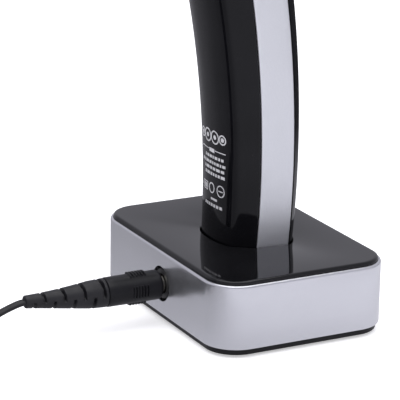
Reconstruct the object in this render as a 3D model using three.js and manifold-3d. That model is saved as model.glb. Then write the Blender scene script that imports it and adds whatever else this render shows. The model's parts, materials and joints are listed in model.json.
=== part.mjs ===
// Cordless beard trimmer standing in its charging stand, with the DC lead plugged in.
// Millimetres, +Z up, origin on the table under the middle of the stand.
// X runs along the stand's long side. The trimmer's front faces -Y and the DC jack is in the +Y wall.
import * as THREE from 'three';
import { mergeVertices } from 'three/addons/utils/BufferGeometryUtils.js';
import Module from 'manifold-3d';

const wasm = await Module();
wasm.setup();

// ---- driving dimensions -------------------------------------------------------------------
const GAP = 0.3;

const STAND_HALF_X = 42.18;
const STAND_HALF_Y = 30;
const STAND_CORNER = 10.8;
const FOOT_DROP = 0.8;
const BAND_BOTTOM = 2.75;
const BAND_TOP = 22.85;
const BAND_WALL = 2;
const PLATE_TOP = 24.07;
const POCKET_FLOOR = 20.3;
const POCKET_GAP = 0.4;

const HANDLE_BOTTOM = POCKET_FLOOR + GAP;
const BEND_HEIGHT = 45.8;
const BEND_OFFSET = -3.4;
const BEND_PARABOLA = 674;
const STRAIGHT_HEIGHT = 120;
const GROWTH = 0.0016;
const GROWTH_START = 24.8;
const WALL = 1.5;
const STRIP_HALF = 5.3;
const STRIP_THICK = 1;
const FLANGE_THICK = 1.3;
const SEAM = 0.25;
const SHELL_TOP_W = 10;

const PIN_X = 5;

const DIAL_RADIUS = 6;
const DIAL_V = -7.4;
const DIAL_W = -8;
const GEAR_MODULE = 0.5;
const GEAR_TEETH = 10;

const MOTOR_V = 6.5;
const MOTOR_TOP = 12.5;
const MOTOR_LENGTH = 25;
const CRANK = 1;

const JACK_X = -3;
const JACK_Z = 12.55;
const PLUG_RADIUS = 4.65;
const PLUG_START = 31;
const PLUG_END = 49.3;
const RELIEF_END = 75.8;
const RELIEF_RISE = 0.92;

const CORD_WIDTH = 3;
const COIL_CENTRE = [19.1, 106];
const COIL_INNER = 12.6;
const COIL_OUTER = 23;
const COIL_BOTTOM = 1.1;
const COIL_TOP = 9.3;

const ADAPTER_X = -2;
const ADAPTER_HALF_X = 20;
const ADAPTER_START = 145;
const ADAPTER_SPLIT = 190;
const ADAPTER_END = 198;
const ADAPTER_HEIGHT = 28;

// ---- materials ----------------------------------------------------------------------------
const FINISHES = {
  glossBlack: { color: 0x0c0c0f, roughness: 0.12, metalness: 0 },
  satinBlack: { color: 0x17171a, roughness: 0.55, metalness: 0 },
  rubberBlack: { color: 0x1a1a1c, roughness: 0.8, metalness: 0 },
  satinSilver: { color: 0xc6c6d0, roughness: 0.4, metalness: 0.55 },
  steel: { color: 0xb9babd, roughness: 0.28, metalness: 1 },
  darkSteel: { color: 0x77797d, roughness: 0.4, metalness: 1 },
  nickel: { color: 0xc9c5ba, roughness: 0.3, metalness: 1 },
  brass: { color: 0xc9a95c, roughness: 0.3, metalness: 1 },
  board: { color: 0x1f6b3a, roughness: 0.5, metalness: 0 },
  greyPlastic: { color: 0x55565a, roughness: 0.6, metalness: 0 },
  whitePlastic: { color: 0xe6e6e2, roughness: 0.45, metalness: 0 },
  batterySleeve: { color: 0x2f6f9f, roughness: 0.45, metalness: 0 },
  clearLens: { color: 0xd8e4ea, roughness: 0.1, metalness: 0 },
  redWire: { color: 0xa02020, roughness: 0.55, metalness: 0 },
};

const root = new THREE.Group();

function add(parent, name, geometry, finish) {
  const mesh = new THREE.Mesh(geometry, new THREE.MeshStandardMaterial(FINISHES[finish]));
  mesh.name = name;
  parent.add(mesh);
  return mesh;
}

// ---- booleans -----------------------------------------------------------------------------
// Keeps only shared corner points and real triangles, so that a shape is one closed skin.
function closed(geometry) {
  const bare = geometry.clone();
  bare.deleteAttribute('normal');
  bare.deleteAttribute('uv');
  const merged = mergeVertices(bare, 1e-4);
  const old = merged.index.array;
  const index = [];
  for (let i = 0; i < old.length; i += 3) {
    const [a, b, c] = [old[i], old[i + 1], old[i + 2]];
    if (a !== b && b !== c && c !== a) {
      index.push(a, b, c);
    }
  }
  merged.setIndex(index);
  return merged;
}

function toManifold(geometry) {
  const vertProperties = new Float32Array(geometry.attributes.position.array);
  const triVerts = new Uint32Array(geometry.index.array);
  return new wasm.Manifold(new wasm.Mesh({ numProp: 3, vertProperties, triVerts }));
}

function toGeometry(manifold) {
  const mesh = manifold.getMesh();
  const geometry = new THREE.BufferGeometry();
  geometry.setAttribute('position', new THREE.BufferAttribute(new Float32Array(mesh.vertProperties), 3));
  geometry.setIndex(new THREE.BufferAttribute(new Uint32Array(mesh.triVerts), 1));
  return geometry;
}

function join(...geometries) {
  let whole = toManifold(geometries[0]);
  for (const geometry of geometries.slice(1)) {
    whole = whole.add(toManifold(geometry));
  }
  return toGeometry(whole);
}

function cut(geometry, ...tools) {
  let whole = toManifold(geometry);
  for (const tool of tools) {
    whole = whole.subtract(toManifold(tool));
  }
  return toGeometry(whole);
}

function overlap(first, second) {
  return toGeometry(toManifold(first).intersect(toManifold(second)));
}

// ---- shape helpers ------------------------------------------------------------------------
function box(x0, x1, y0, y1, z0, z1) {
  const geometry = new THREE.BoxGeometry(x1 - x0, y1 - y0, z1 - z0);
  return closed(geometry).translate((x0 + x1) / 2, (y0 + y1) / 2, (z0 + z1) / 2);
}

// Turns every face of an indexed shape over.
function flipFaces(geometry) {
  const index = geometry.index.array;
  for (let i = 0; i < index.length; i += 3) {
    [index[i], index[i + 1]] = [index[i + 1], index[i]];
  }
  return geometry;
}

function mirrored(geometry) {
  const copy = geometry.clone();
  const position = copy.attributes.position;
  for (let i = 0; i < position.count; i++) {
    position.setX(i, -position.getX(i));
  }
  return flipFaces(copy);
}

// A turned piece about +Z from [radius, height] pairs that start and end on the axis.
function turned(profile, sides = 16) {
  const points = profile.map(([radius, height]) => new THREE.Vector2(radius, height));
  return faceOut(closed(new THREE.LatheGeometry(points, sides)).rotateX(Math.PI / 2));
}

function rod(radius, z0, z1, sides = 16) {
  return turned([[0, z0], [radius, z0], [radius, z1], [0, z1]], sides);
}

function alongY(geometry) {
  return geometry.rotateX(-Math.PI / 2);
}

function alongX(geometry) {
  return geometry.rotateY(Math.PI / 2);
}

// A closed outline of [a, b] pairs extruded from z0 to z1.
function prism(outline, z0, z1) {
  const shape = new THREE.Shape(outline.map(([a, b]) => new THREE.Vector2(a, b)));
  const geometry = new THREE.ExtrudeGeometry(shape, { depth: z1 - z0, bevelEnabled: false });
  return closed(geometry).translate(0, 0, z0);
}

// A closed outline of [v, w] pairs extruded across X from x0 to x1.
function slab(outline, x0, x1) {
  const turn = new THREE.Matrix4().set(0, 0, 1, 0, 1, 0, 0, 0, 0, 1, 0, 0, 0, 0, 0, 1);
  return faceOut(prism(outline, x0, x1).applyMatrix4(turn));
}

function roundedRect(halfX, y0, y1, radius, steps = 5) {
  const outline = [];
  const corners = [
    [halfX - radius, y1 - radius, 0],
    [-halfX + radius, y1 - radius, 1],
    [-halfX + radius, y0 + radius, 2],
    [halfX - radius, y0 + radius, 3],
  ];
  for (const [x, y, quarter] of corners) {
    for (let i = 0; i <= steps; i++) {
      const angle = (quarter + i / steps) * Math.PI / 2;
      outline.push([x + radius * Math.cos(angle), y + radius * Math.sin(angle)]);
    }
  }
  return outline;
}

function standOutline(inset) {
  const radius = STAND_CORNER - inset;
  return roundedRect(STAND_HALF_X - inset, -STAND_HALF_Y + inset, STAND_HALF_Y - inset, radius);
}

// Skins equal rings of points into one closed body; flat holds the end outlines for the caps.
function loft(rings, flat) {
  const count = rings[0].length;
  const positions = [];
  for (const ring of rings) {
    for (const point of ring) {
      positions.push(point.x, point.y, point.z);
    }
  }
  const index = [];
  for (let r = 0; r < rings.length - 1; r++) {
    for (let i = 0; i < count; i++) {
      const a = r * count + i;
      const b = r * count + (i + 1) % count;
      index.push(a, b, b + count, a, b + count, a + count);
    }
  }
  const last = (rings.length - 1) * count;
  const outline = flat.map(([a, b]) => new THREE.Vector2(a, b));
  const clockwise = THREE.ShapeUtils.isClockWise(outline);
  for (const triangle of THREE.ShapeUtils.triangulateShape(outline, [])) {
    const [a, b, c] = clockwise ? triangle.reverse() : triangle;
    index.push(a, c, b);
    index.push(last + a, last + b, last + c);
  }
  const geometry = new THREE.BufferGeometry();
  geometry.setAttribute('position', new THREE.Float32BufferAttribute(positions, 3));
  geometry.setIndex(index);
  return faceOut(geometry);
}

function faceOut(geometry) {
  return signedVolume(geometry) < 0 ? flipFaces(geometry) : geometry;
}

function signedVolume(geometry) {
  const position = geometry.attributes.position;
  const index = geometry.index.array;
  const [a, b, c] = [new THREE.Vector3(), new THREE.Vector3(), new THREE.Vector3()];
  let volume = 0;
  for (let i = 0; i < index.length; i += 3) {
    a.fromBufferAttribute(position, index[i]);
    b.fromBufferAttribute(position, index[i + 1]);
    c.fromBufferAttribute(position, index[i + 2]);
    volume += a.dot(b.cross(c)) / 6;
  }
  return volume;
}

// Stacks flat outlines given as [height, outline] into one body.
function stack(levels) {
  const rings = levels.map(([z, outline]) => outline.map(([x, y]) => new THREE.Vector3(x, y, z)));
  return loft(rings, levels[0][1]);
}

function tube(points, radius, sides = 6, stepsPerSpan = 3) {
  const path = new THREE.CatmullRomCurve3(points.map((point) => new THREE.Vector3(...point)));
  const section = new THREE.Shape(Array.from({ length: sides }, (_, i) => {
    const angle = i / sides * Math.PI * 2;
    return new THREE.Vector2(radius * Math.cos(angle), radius * Math.sin(angle));
  }));
  const steps = stepsPerSpan * (points.length - 1);
  return closed(new THREE.ExtrudeGeometry(section, { steps, extrudePath: path, bevelEnabled: false }));
}

// ---- the handle's bent centre line and its cross-section ------------------------------------
function smoothstep(value, low, high) {
  const t = THREE.MathUtils.clamp((value - low) / (high - low), 0, 1);
  return t * t * (3 - 2 * t);
}

function spine(z) {
  const bent = Math.min(z, STRAIGHT_HEIGHT);
  const slope = 2 * (STRAIGHT_HEIGHT - BEND_HEIGHT) / BEND_PARABOLA;
  const y = BEND_OFFSET + (bent - BEND_HEIGHT) ** 2 / BEND_PARABOLA + (z - bent) * slope;
  const lean = Math.atan(2 * Math.max(bent - BEND_HEIGHT, 0) / BEND_PARABOLA);
  return { y, lean };
}

const HEAD_LEAN = spine(STRAIGHT_HEIGHT).lean;
const HEAD_Y = spine(STRAIGHT_HEIGHT).y;

function onHandle(x, v, z) {
  const { y, lean } = spine(z);
  return new THREE.Vector3(x, y + v * Math.cos(lean), z - v * Math.sin(lean));
}

// Cross-section sizes at a height: v is measured from the centre line, + towards the rear.
function section(z) {
  const grow = 1 + GROWTH * (z - GROWTH_START);
  const recede = 1 - 0.1 * smoothstep(z, 100, 130);
  const half = STRIP_HALF * (1 + 0.0004 * (z - GROWTH_START));
  const face = (v) => grow * (14.95 - 0.085 * v - 0.0018 * v * v);
  const front = [[13, -7.9], [7.5, -10.2], [0, -11]].map(([x, v]) => [x * grow, v * grow * recede]);
  const rear = [[12.3, 9], [10.1, 12], [5.5, 13.6], [0, 14.1]].map(([x, v]) => [x * grow, v * grow]);
  return { grow, half, face, front, rear };
}

function fullFromHalf(half) {
  const other = half.slice(0, -1).reverse().map(([x, v]) => [-x, v]);
  return [...half, ...other];
}

// Moves the inner points of an open outline sideways; the two end points are dropped.
function innerOffset(outline, distance) {
  const inner = [];
  for (let i = 1; i < outline.length - 1; i++) {
    const before = new THREE.Vector2(outline[i][0] - outline[i - 1][0], outline[i][1] - outline[i - 1][1]);
    const after = new THREE.Vector2(outline[i + 1][0] - outline[i][0], outline[i + 1][1] - outline[i][1]);
    const along = before.normalize().add(after.normalize()).normalize();
    inner.push([outline[i][0] + along.y * distance, outline[i][1] - along.x * distance]);
  }
  return inner;
}

// The loop of a C-shaped shell: its face, and the flanges that lie under the side strips.
function shellLoop(z, side) {
  const { half, face, front, rear } = section(z);
  const edge = side * (half + SEAM);
  const lip = side * 0.15;
  const deep = STRIP_THICK + GAP;
  const outer = fullFromHalf([[face(edge), edge], ...(side < 0 ? front : rear)]);
  const inner = innerOffset(outer, side > 0 ? -WALL : WALL);
  const step = [[face(lip) - deep, lip], [face(edge) - deep, edge]];
  const back = step.map(([x, v]) => [x - FLANGE_THICK, v]);
  const flip = (points) => points.slice().reverse().map(([x, v]) => [-x, v]);
  return [...step, ...outer, ...flip(step), ...flip(back).reverse(), ...inner.slice().reverse(),
    ...back.slice().reverse()];
}

function stripLoop(z) {
  const { half, face } = section(z);
  const stations = [-half, -half / 3, half / 3, half];
  const outer = stations.map((v) => [face(v), v]);
  const inner = stations.slice().reverse().map((v) => [face(v) - STRIP_THICK, v]);
  return [...outer, ...inner];
}

// The whole handle outline, grown or shrunk by an offset.
function handleLoop(z, offset) {
  const { half, face, front, rear } = section(z);
  const right = [...front.slice().reverse(), [face(-half), -half], [face(0), 0], [face(half), half], ...rear];
  const loop = [...right, ...right.slice(1, -1).reverse().map(([x, v]) => [-x, v])];
  const centre = 1.2;
  return loop.map(([x, v]) => {
    const reach = Math.hypot(x, v - centre);
    return [x * (1 + offset / reach), centre + (v - centre) * (1 + offset / reach)];
  });
}

const STATIONS = [HANDLE_BOTTOM, 30, 40, 50, 60, 70, 80, 90, 100, 110, 120];
STATIONS.push(STRAIGHT_HEIGHT + SHELL_TOP_W * Math.cos(HEAD_LEAN));

function loftHandle(loopAt) {
  const rings = STATIONS.map((z) => loopAt(z).map(([x, v]) => onHandle(x, v, z)));
  return loft(rings, loopAt(STATIONS[0]));
}

function localFrame(z) {
  const { y, lean } = spine(z);
  return new THREE.Matrix4().makeRotationX(-lean).setPosition(0, y, z);
}

const HEAD_FRAME = localFrame(STRAIGHT_HEIGHT);
const head = new THREE.Group();
head.position.set(0, HEAD_Y, STRAIGHT_HEIGHT);
head.rotation.x = -HEAD_LEAN;
root.add(head);

function inHead(geometry) {
  return geometry.applyMatrix4(HEAD_FRAME);
}

// ---- charging stand -------------------------------------------------------------------------
const SIDES = [[-1, 'left'], [1, 'right']];
const FOOT_X = 33;
const FOOT_HALF = [3, 19];
const SCREW_SPOTS = [[-27, 0], [27, 0]];

function at(geometry, [x, y], z = 0) {
  return geometry.clone().translate(x, y, z);
}

function footStrip(grow, z0, z1) {
  const [halfX, halfY] = FOOT_HALF;
  return prism(roundedRect(halfX + grow, -halfY - grow, halfY + grow, halfX + grow - 0.05), z0, z1);
}

function makeStand() {
  const floorTop = 2.5;
  const rim = join(
    prism(standOutline(0.97), FOOT_DROP, floorTop),
    cut(prism(standOutline(2.3), floorTop - 0.2, 6.5), prism(standOutline(3.7), floorTop - 0.4, 7)),
    ...SCREW_SPOTS.map((spot) => at(rod(3.6, floorTop - 0.2, 5.6), spot)),
    box(JACK_X - 5, JACK_X + 5, 16, 26.5, floorTop - 0.2, 6.7),
  );
  const baseTray = cut(
    rim,
    ...SIDES.map(([side]) => at(footStrip(GAP, 0.5, 1.75), [side * FOOT_X, 0])),
    ...SCREW_SPOTS.map((spot) => at(join(rod(2.6, 0.5, 3.2), rod(1.4, 3, 6)), spot)),
  );
  add(root, 'base_tray', baseTray, 'satinBlack');

  const band = cut(
    stack([
      [BAND_BOTTOM, standOutline(0.4)],
      [BAND_BOTTOM + 0.4, standOutline(0)],
      [BAND_TOP - 0.7, standOutline(0)],
      [BAND_TOP - 0.2, standOutline(0.2)],
      [BAND_TOP, standOutline(0.55)],
    ]),
    prism(standOutline(BAND_WALL), BAND_BOTTOM - 1, BAND_TOP + 1),
    prism(standOutline(0.8), 21.6, BAND_TOP + 1),
    alongY(rod(5.6, 25, 32, 24)).translate(JACK_X, 0, JACK_Z),
  );
  add(root, 'silver_band', band, 'satinSilver');

  const pocketY = spine((POCKET_FLOOR + PLATE_TOP) / 2).y;
  const socket = (offset) => handleLoop(22, offset).map(([x, v]) => [x, v + pocketY]);
  const plateBody = join(
    stack([
      [21.9, standOutline(1)],
      [PLATE_TOP - 0.8, standOutline(1)],
      [PLATE_TOP - 0.25, standOutline(1.25)],
      [PLATE_TOP, standOutline(1.8)],
    ]),
    cut(prism(standOutline(2.4), 19, 22), prism(standOutline(3.8), 18, 21.9)),
    prism(socket(2), 18.6, 22),
    ...SCREW_SPOTS.map((spot) => at(rod(3.2, 6.1, 22), spot)),
  );
  const pinHole = (side) => rod(1.35, 18, 21, 12).translate(side * PIN_X, spine(22).y, 0);
  const topPlate = cut(
    plateBody,
    prism(socket(POCKET_GAP), POCKET_FLOOR, 26),
    pinHole(-1),
    pinHole(1),
    ...SCREW_SPOTS.map((spot) => at(rod(1.25, 5, 14, 12), spot)),
  );
  add(root, 'top_plate', topPlate, 'glossBlack');

  add(root, 'ballast_plate', prism(roundedRect(21, -24, 14, 3, 2), 2.8, 6.3), 'darkSteel');

  const screw = turned([[0, 1.2], [1.9, 1.2], [2.3, 1.6], [2.3, 2.6], [1, 2.9], [1, 12], [0, 12.8]], 12);
  SIDES.forEach(([side, word], i) => {
    add(root, `rubber_foot_${word}`, at(footStrip(0, 0, 1.4), [side * FOOT_X, 0]), 'rubberBlack');
    add(root, `stand_screw_${word}`, at(screw, SCREW_SPOTS[i]), 'steel');
  });
}

function makeJack() {
  const body = join(
    box(JACK_X - 4.6, JACK_X + 4.6, 15.5, 27.4, 7, 18.1),
    alongY(rod(5.3, 27, 29.8, 24)).translate(JACK_X, 0, JACK_Z),
  );
  const bore = alongY(rod(3.05, 18, 31, 20)).translate(JACK_X, 0, JACK_Z);
  const pin = alongY(turned([[0, 14.8], [0.9, 14.8], [0.9, 27.6], [0.5, 28.2], [0, 28.2]], 12));
  add(root, 'dc_jack', join(cut(body, bore), pin.translate(JACK_X, 0, JACK_Z)), 'satinBlack');
}

function makeContacts() {
  const y = spine(22).y;
  add(root, 'contact_board', box(-14, 14, y - 9, y + 9, 10.7, 12.3), 'board');
  const well = (side) => join(rod(1.35, 17, 19, 12), rod(2.15, 12, 17.5, 14)).translate(side * PIN_X, y, 0);
  const carrier = cut(box(-11.6, 11.6, y - 5, y + 5, 12.6, 18.3), well(-1), well(1));
  add(root, 'contact_carrier', carrier, 'whitePlastic');
  for (const [side, word] of SIDES) {
    const tip = HANDLE_BOTTOM + GAP;
    const profile = [[0, 13.2], [0.9, 13.2], [0.9, 16.2], [1.75, 16.2], [1.75, 17.1], [1.05, 17.1],
      [1.05, tip - 0.6], [0.6, tip], [0, tip]];
    const place = [side * PIN_X, y, 0];
    add(root, `contact_pin_${word}`, turned(profile, 14).translate(...place), 'brass');
    const turns = 4;
    const coil = Array.from({ length: turns * 8 + 1 }, (_, i) => {
      const angle = i / 8 * Math.PI * 2;
      return [1.5 * Math.cos(angle), 1.5 * Math.sin(angle), 12.85 + 0.3 + 2.5 * i / (turns * 8)];
    });
    add(root, `contact_spring_${word}`, tube(coil, 0.22, 5, 1).translate(...place), 'steel');
  }
  const wireRun = [
    [JACK_X + 2, 15, 9.2], [JACK_X + 2, 12, 9], [JACK_X + 2.5, 9, 9.2], [JACK_X + 3, 5, 9.7],
  ];
  const wires = tube(wireRun, 0.7);
  add(root, 'stand_wires', wires, 'redWire');
}

// ---- trimmer handle ---------------------------------------------------------------------------
function makeShells() {
  const armSlot = inHead(box(13.6, 16.05, -5.1, 0.7, -14.5, 11));
  const slots = [armSlot, mirrored(armSlot)];
  const rear = cut(loftHandle((z) => shellLoop(z, 1)), ...slots);
  add(root, 'rear_shell', rear, 'glossBlack');

  const bearing = inHead(box(7.3, 8.6, -11, DIAL_V + 1.6, DIAL_W - 2, DIAL_W + 2));
  const boss = inHead(join(
    rod(2.1, 1.5, 9.8, 14).translate(6.5, -7.6, 0),
    box(5.7, 7.3, -10.9, -8.6, 1.5, 9.8),
  ));
  const axleBore = inHead(alongX(rod(1.25, -9, 9, 16)).translate(0, DIAL_V, DIAL_W));
  const bossBore = inHead(rod(1.15, 0, 11, 12).translate(6.5, -7.6, 0));
  const dialWindow = inHead(alongX(rod(DIAL_RADIUS + 0.4, -4.5, 4.5, 24)).translate(0, DIAL_V, DIAL_W));
  const gearRoom = inHead(alongX(rod(3.35, -7, 7, 20)).translate(0, DIAL_V, DIAL_W));
  const switchSlot = box(-1.9, 1.9, -16, -6, -2.9, 5.9).applyMatrix4(localFrame(82));
  const lensHole = alongY(rod(1.3, -14, -6, 14)).applyMatrix4(localFrame(62));
  const front = cut(
    join(loftHandle((z) => shellLoop(z, -1)), bearing, mirrored(bearing), boss, mirrored(boss)),
    ...slots,
    axleBore,
    bossBore,
    mirrored(bossBore),
    dialWindow,
    gearRoom,
    switchSlot,
    lensHole,
  );
  add(root, 'front_shell', front, 'glossBlack');

  const strip = loftHandle(stripLoop);
  add(root, 'side_strip_right', strip, 'satinSilver');
  add(root, 'side_strip_left', mirrored(strip), 'satinSilver');
}

function makeFoot() {
  const y = spine(22).y;
  const capOutline = () => {
    const rearHalf = innerOffset(fullFromHalf([[14.4, 5.55], ...section(22).rear]), -WALL - GAP);
    const frontHalf = innerOffset(fullFromHalf([[15.3, -5.55], ...section(22).front]), WALL + GAP);
    const side = [[11.3, 5], [11.9, 0], [12.3, -5]];
    return [...side.slice().reverse(), ...rearHalf, ...side.map(([x, v]) => [-x, v]),
      ...frontHalf.slice().reverse()];
  };
  const outline = capOutline().map(([x, v]) => [x, v + y]);
  const padHole = (side) => rod(2.5, 20, 25, 16).translate(side * PIN_X, y, 0);
  const screwHole = join(rod(2.2, 20, 22.2, 16), rod(1.15, 22, 25, 12)).translate(0, y + 7, 0);
  const cap = cut(prism(outline, HANDLE_BOTTOM + GAP, 23.2), padHole(-1), padHole(1), screwHole);
  add(root, 'bottom_cap', cap, 'satinBlack');
  const pad = (side) => turned([[0, 21.2], [2.1, 21.2], [2.1, 23.6], [0, 23.6]], 16)
    .translate(side * PIN_X, y, 0);
  for (const [side, word] of SIDES) {
    add(root, `charge_pad_${word}`, pad(side), 'nickel');
  }
  const screw = turned([[0, 21.1], [1.8, 21.1], [1.8, 21.9], [0.85, 21.9], [0.85, 26.2], [0, 26.2]], 12);
  add(root, 'bottom_cap_screw', screw.translate(0, y + 7, 0), 'steel');
}

function makeInsides() {
  const cell = turned([[0, 28.3], [4.9, 28.3], [5.2, 28.7], [5.2, 71], [4.8, 71.4], [1.8, 71.4],
    [1.8, 72.4], [0, 72.4]], 16);
  const cellY = BEND_OFFSET + 3.2;
  add(root, 'battery_cell_left', cell.clone().translate(-5.45, cellY, 0), 'batterySleeve');
  add(root, 'battery_cell_right', cell.clone().translate(5.45, cellY, 0), 'batterySleeve');
  add(root, 'battery_link', box(-7.5, 7.5, cellY - 2, cellY + 2, 72.7, 73.3), 'nickel');

  const backboneAt = (z) => [[-8.2, 9], [8.2, 9], [8.2, 10.2], [-8.2, 10.2]]
    .map(([x, v]) => onHandle(x, v, z));
  const backbone = loft([25, 40, 55, 70, 85, 98, 106].map(backboneAt), [[-8, 9], [8, 9], [8, 10], [-8, 10]]);
  const capScrewHole = rod(1.15, 24, 27, 12).translate(0, spine(22).y + 7, 0);
  const frame = cut(
    join(
      backbone,
      box(-9.6, 9.6, BEND_OFFSET - 5.5, BEND_OFFSET + 9.6, 24.6, 27),
      box(-10.4, 10.4, -2.3 - 2, -2.3 + 10.1, 74.6, 76),
      inHead(box(-9, 9, -0.8, 11.6, -14.6, -13)),
      inHead(box(-11.4, -10.4, 1, 9, -14.6, -1)),
      inHead(box(10.4, 11.4, 1, 9, -14.6, -1)),
      inHead(box(-11.4, 11.4, 1, 9, -14.6, -13)),
    ),
    capScrewHole,
    inHead(rod(2.6, -16, -12, 14).translate(0, 5, 0)),
  );
  add(root, 'internal_frame', frame, 'greyPlastic');

  const board = new THREE.Group();
  board.position.set(0, -6, 74);
  board.rotation.x = -0.0836;
  root.add(board);
  const boardSolid = join(
    box(-9, 9, -0.8, 0.8, -27, 15.5),
    box(-4, 3, -1.9, -0.7, -24, -17),
    box(-7.5, -4.5, -2.2, -0.7, -8, -4),
    box(3, 7, -2.4, -0.7, -10, -5),
    box(-1, 1, -2.2, -0.7, -13, -11),
  );
  add(board, 'main_board', boardSolid, 'board');

  const control = new THREE.Group();
  control.position.set(0, spine(82).y, 82);
  control.rotation.x = -spine(82).lean;
  root.add(control);
  const groove = box(-1.3, 1.3, -9, -6.7, -2.9, 5.9);
  add(control, 'slide_switch', cut(box(-3.4, 3.4, -8.2, -5.3, -6, 7), groove), 'greyPlastic');
  const ridge = (w) => box(-3.4, 3.4, -14.1, -13.4, w - 0.35, w + 0.35);
  const button = join(
    slab([[-12.5, -7], [-13.1, -7], [-13.6, -6.2], [-13.6, 6.2], [-13.1, 7], [-12.5, 7]], -4.5, 4.5),
    ...[-4, -2, 0, 2, 4].map(ridge),
    box(-1.5, 1.5, -12.7, -9, -2.5, 2.5),
    box(-1, 1, -9.2, -7, -2.5, 2.5),
  );
  add(control, 'power_switch_button', button, 'satinBlack');

  const lens = turned([[0, -11.75], [0.6, -11.7], [1, -11.4], [1, -8], [0, -8]], 14);
  add(root, 'charge_led_lens', alongY(lens).applyMatrix4(localFrame(62)), 'clearLens');

  const wires = tube([[2, -2, 84], [1.8, -0.6, 90], [1, 2.4, 96], [0, 4.6, 102], [0, 6.4, 106.4]], 0.7);
  add(root, 'motor_wires', wires, 'redWire');
}

function makeDrive() {
  const can = overlap(
    rod(10.05, MOTOR_TOP - MOTOR_LENGTH, MOTOR_TOP, 28),
    box(-10.5, 10.5, -7.5, 6.9, -30, 30),
  );
  const motor = cut(join(can, rod(3, MOTOR_TOP - 0.5, MOTOR_TOP + 1.1, 16)), rod(1.25, 6, 16, 12));
  add(head, 'motor', motor.translate(0, MOTOR_V, 0), 'steel');
  const shaft = join(
    rod(0.95, 6.4, 14.5, 12),
    rod(3, 14, 16.4, 16),
    rod(0.8, 16.2, 19.2, 12).translate(CRANK, 0, 0),
  );
  add(head, 'eccentric_shaft', shaft.translate(0, MOTOR_V, 0), 'darkSteel');

  const slot = box(-3.1, 3.1, MOTOR_V - 2.2, MOTOR_V + 2.2, 16, 20);
  const yoke = cut(
    join(
      box(-5, 5, MOTOR_V - 3.5, MOTOR_V + 3.3, 16.9, 18.9),
      box(-4, 4, MOTOR_V - 3.5, MOTOR_V - 2.3, 16.9, 22),
      box(-4, 4, MOTOR_V - 3.5, 7.6, 21, 22.4),
      box(-4, 4, 6.4, 7.6, 21, 31),
      alongY(rod(0.7, 7.2, 8.8, 10)).translate(-2.5, 0, 29),
      alongY(rod(0.7, 7.2, 8.8, 10)).translate(2.5, 0, 29),
    ),
    slot,
  );
  add(head, 'cutter_yoke', yoke, 'whitePlastic');
}

// ---- cutting head -----------------------------------------------------------------------------
function bladeOutline(half, low, high, pitch, tooth, depth, notch) {
  const count = Math.floor(2 * half / pitch);
  const start = -count * pitch / 2;
  const outline = [[half, low], [half, high - depth]];
  const teeth = [];
  for (let i = 0; i < count; i++) {
    const x = start + (i + 0.5) * pitch;
    teeth.push([x - tooth / 2, high - depth], [x - tooth / 3, high], [x + tooth / 3, high],
      [x + tooth / 2, high - depth]);
  }
  outline.push(...teeth.reverse(), [-half, high - depth], [-half, low]);
  if (notch) {
    outline.push([-notch, low], [-notch, low + 2.7], [notch, low + 2.7], [notch, low]);
  }
  return outline;
}

// A blade outline of [x, w] pairs as a plate between two v values.
function bladePlate(outline, v0, v1) {
  return prism(outline, v0, v1).applyMatrix4(new THREE.Matrix4().set(
    1, 0, 0, 0, 0, 0, 1, 0, 0, 1, 0, 0, 0, 0, 0, 1,
  ));
}

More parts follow.
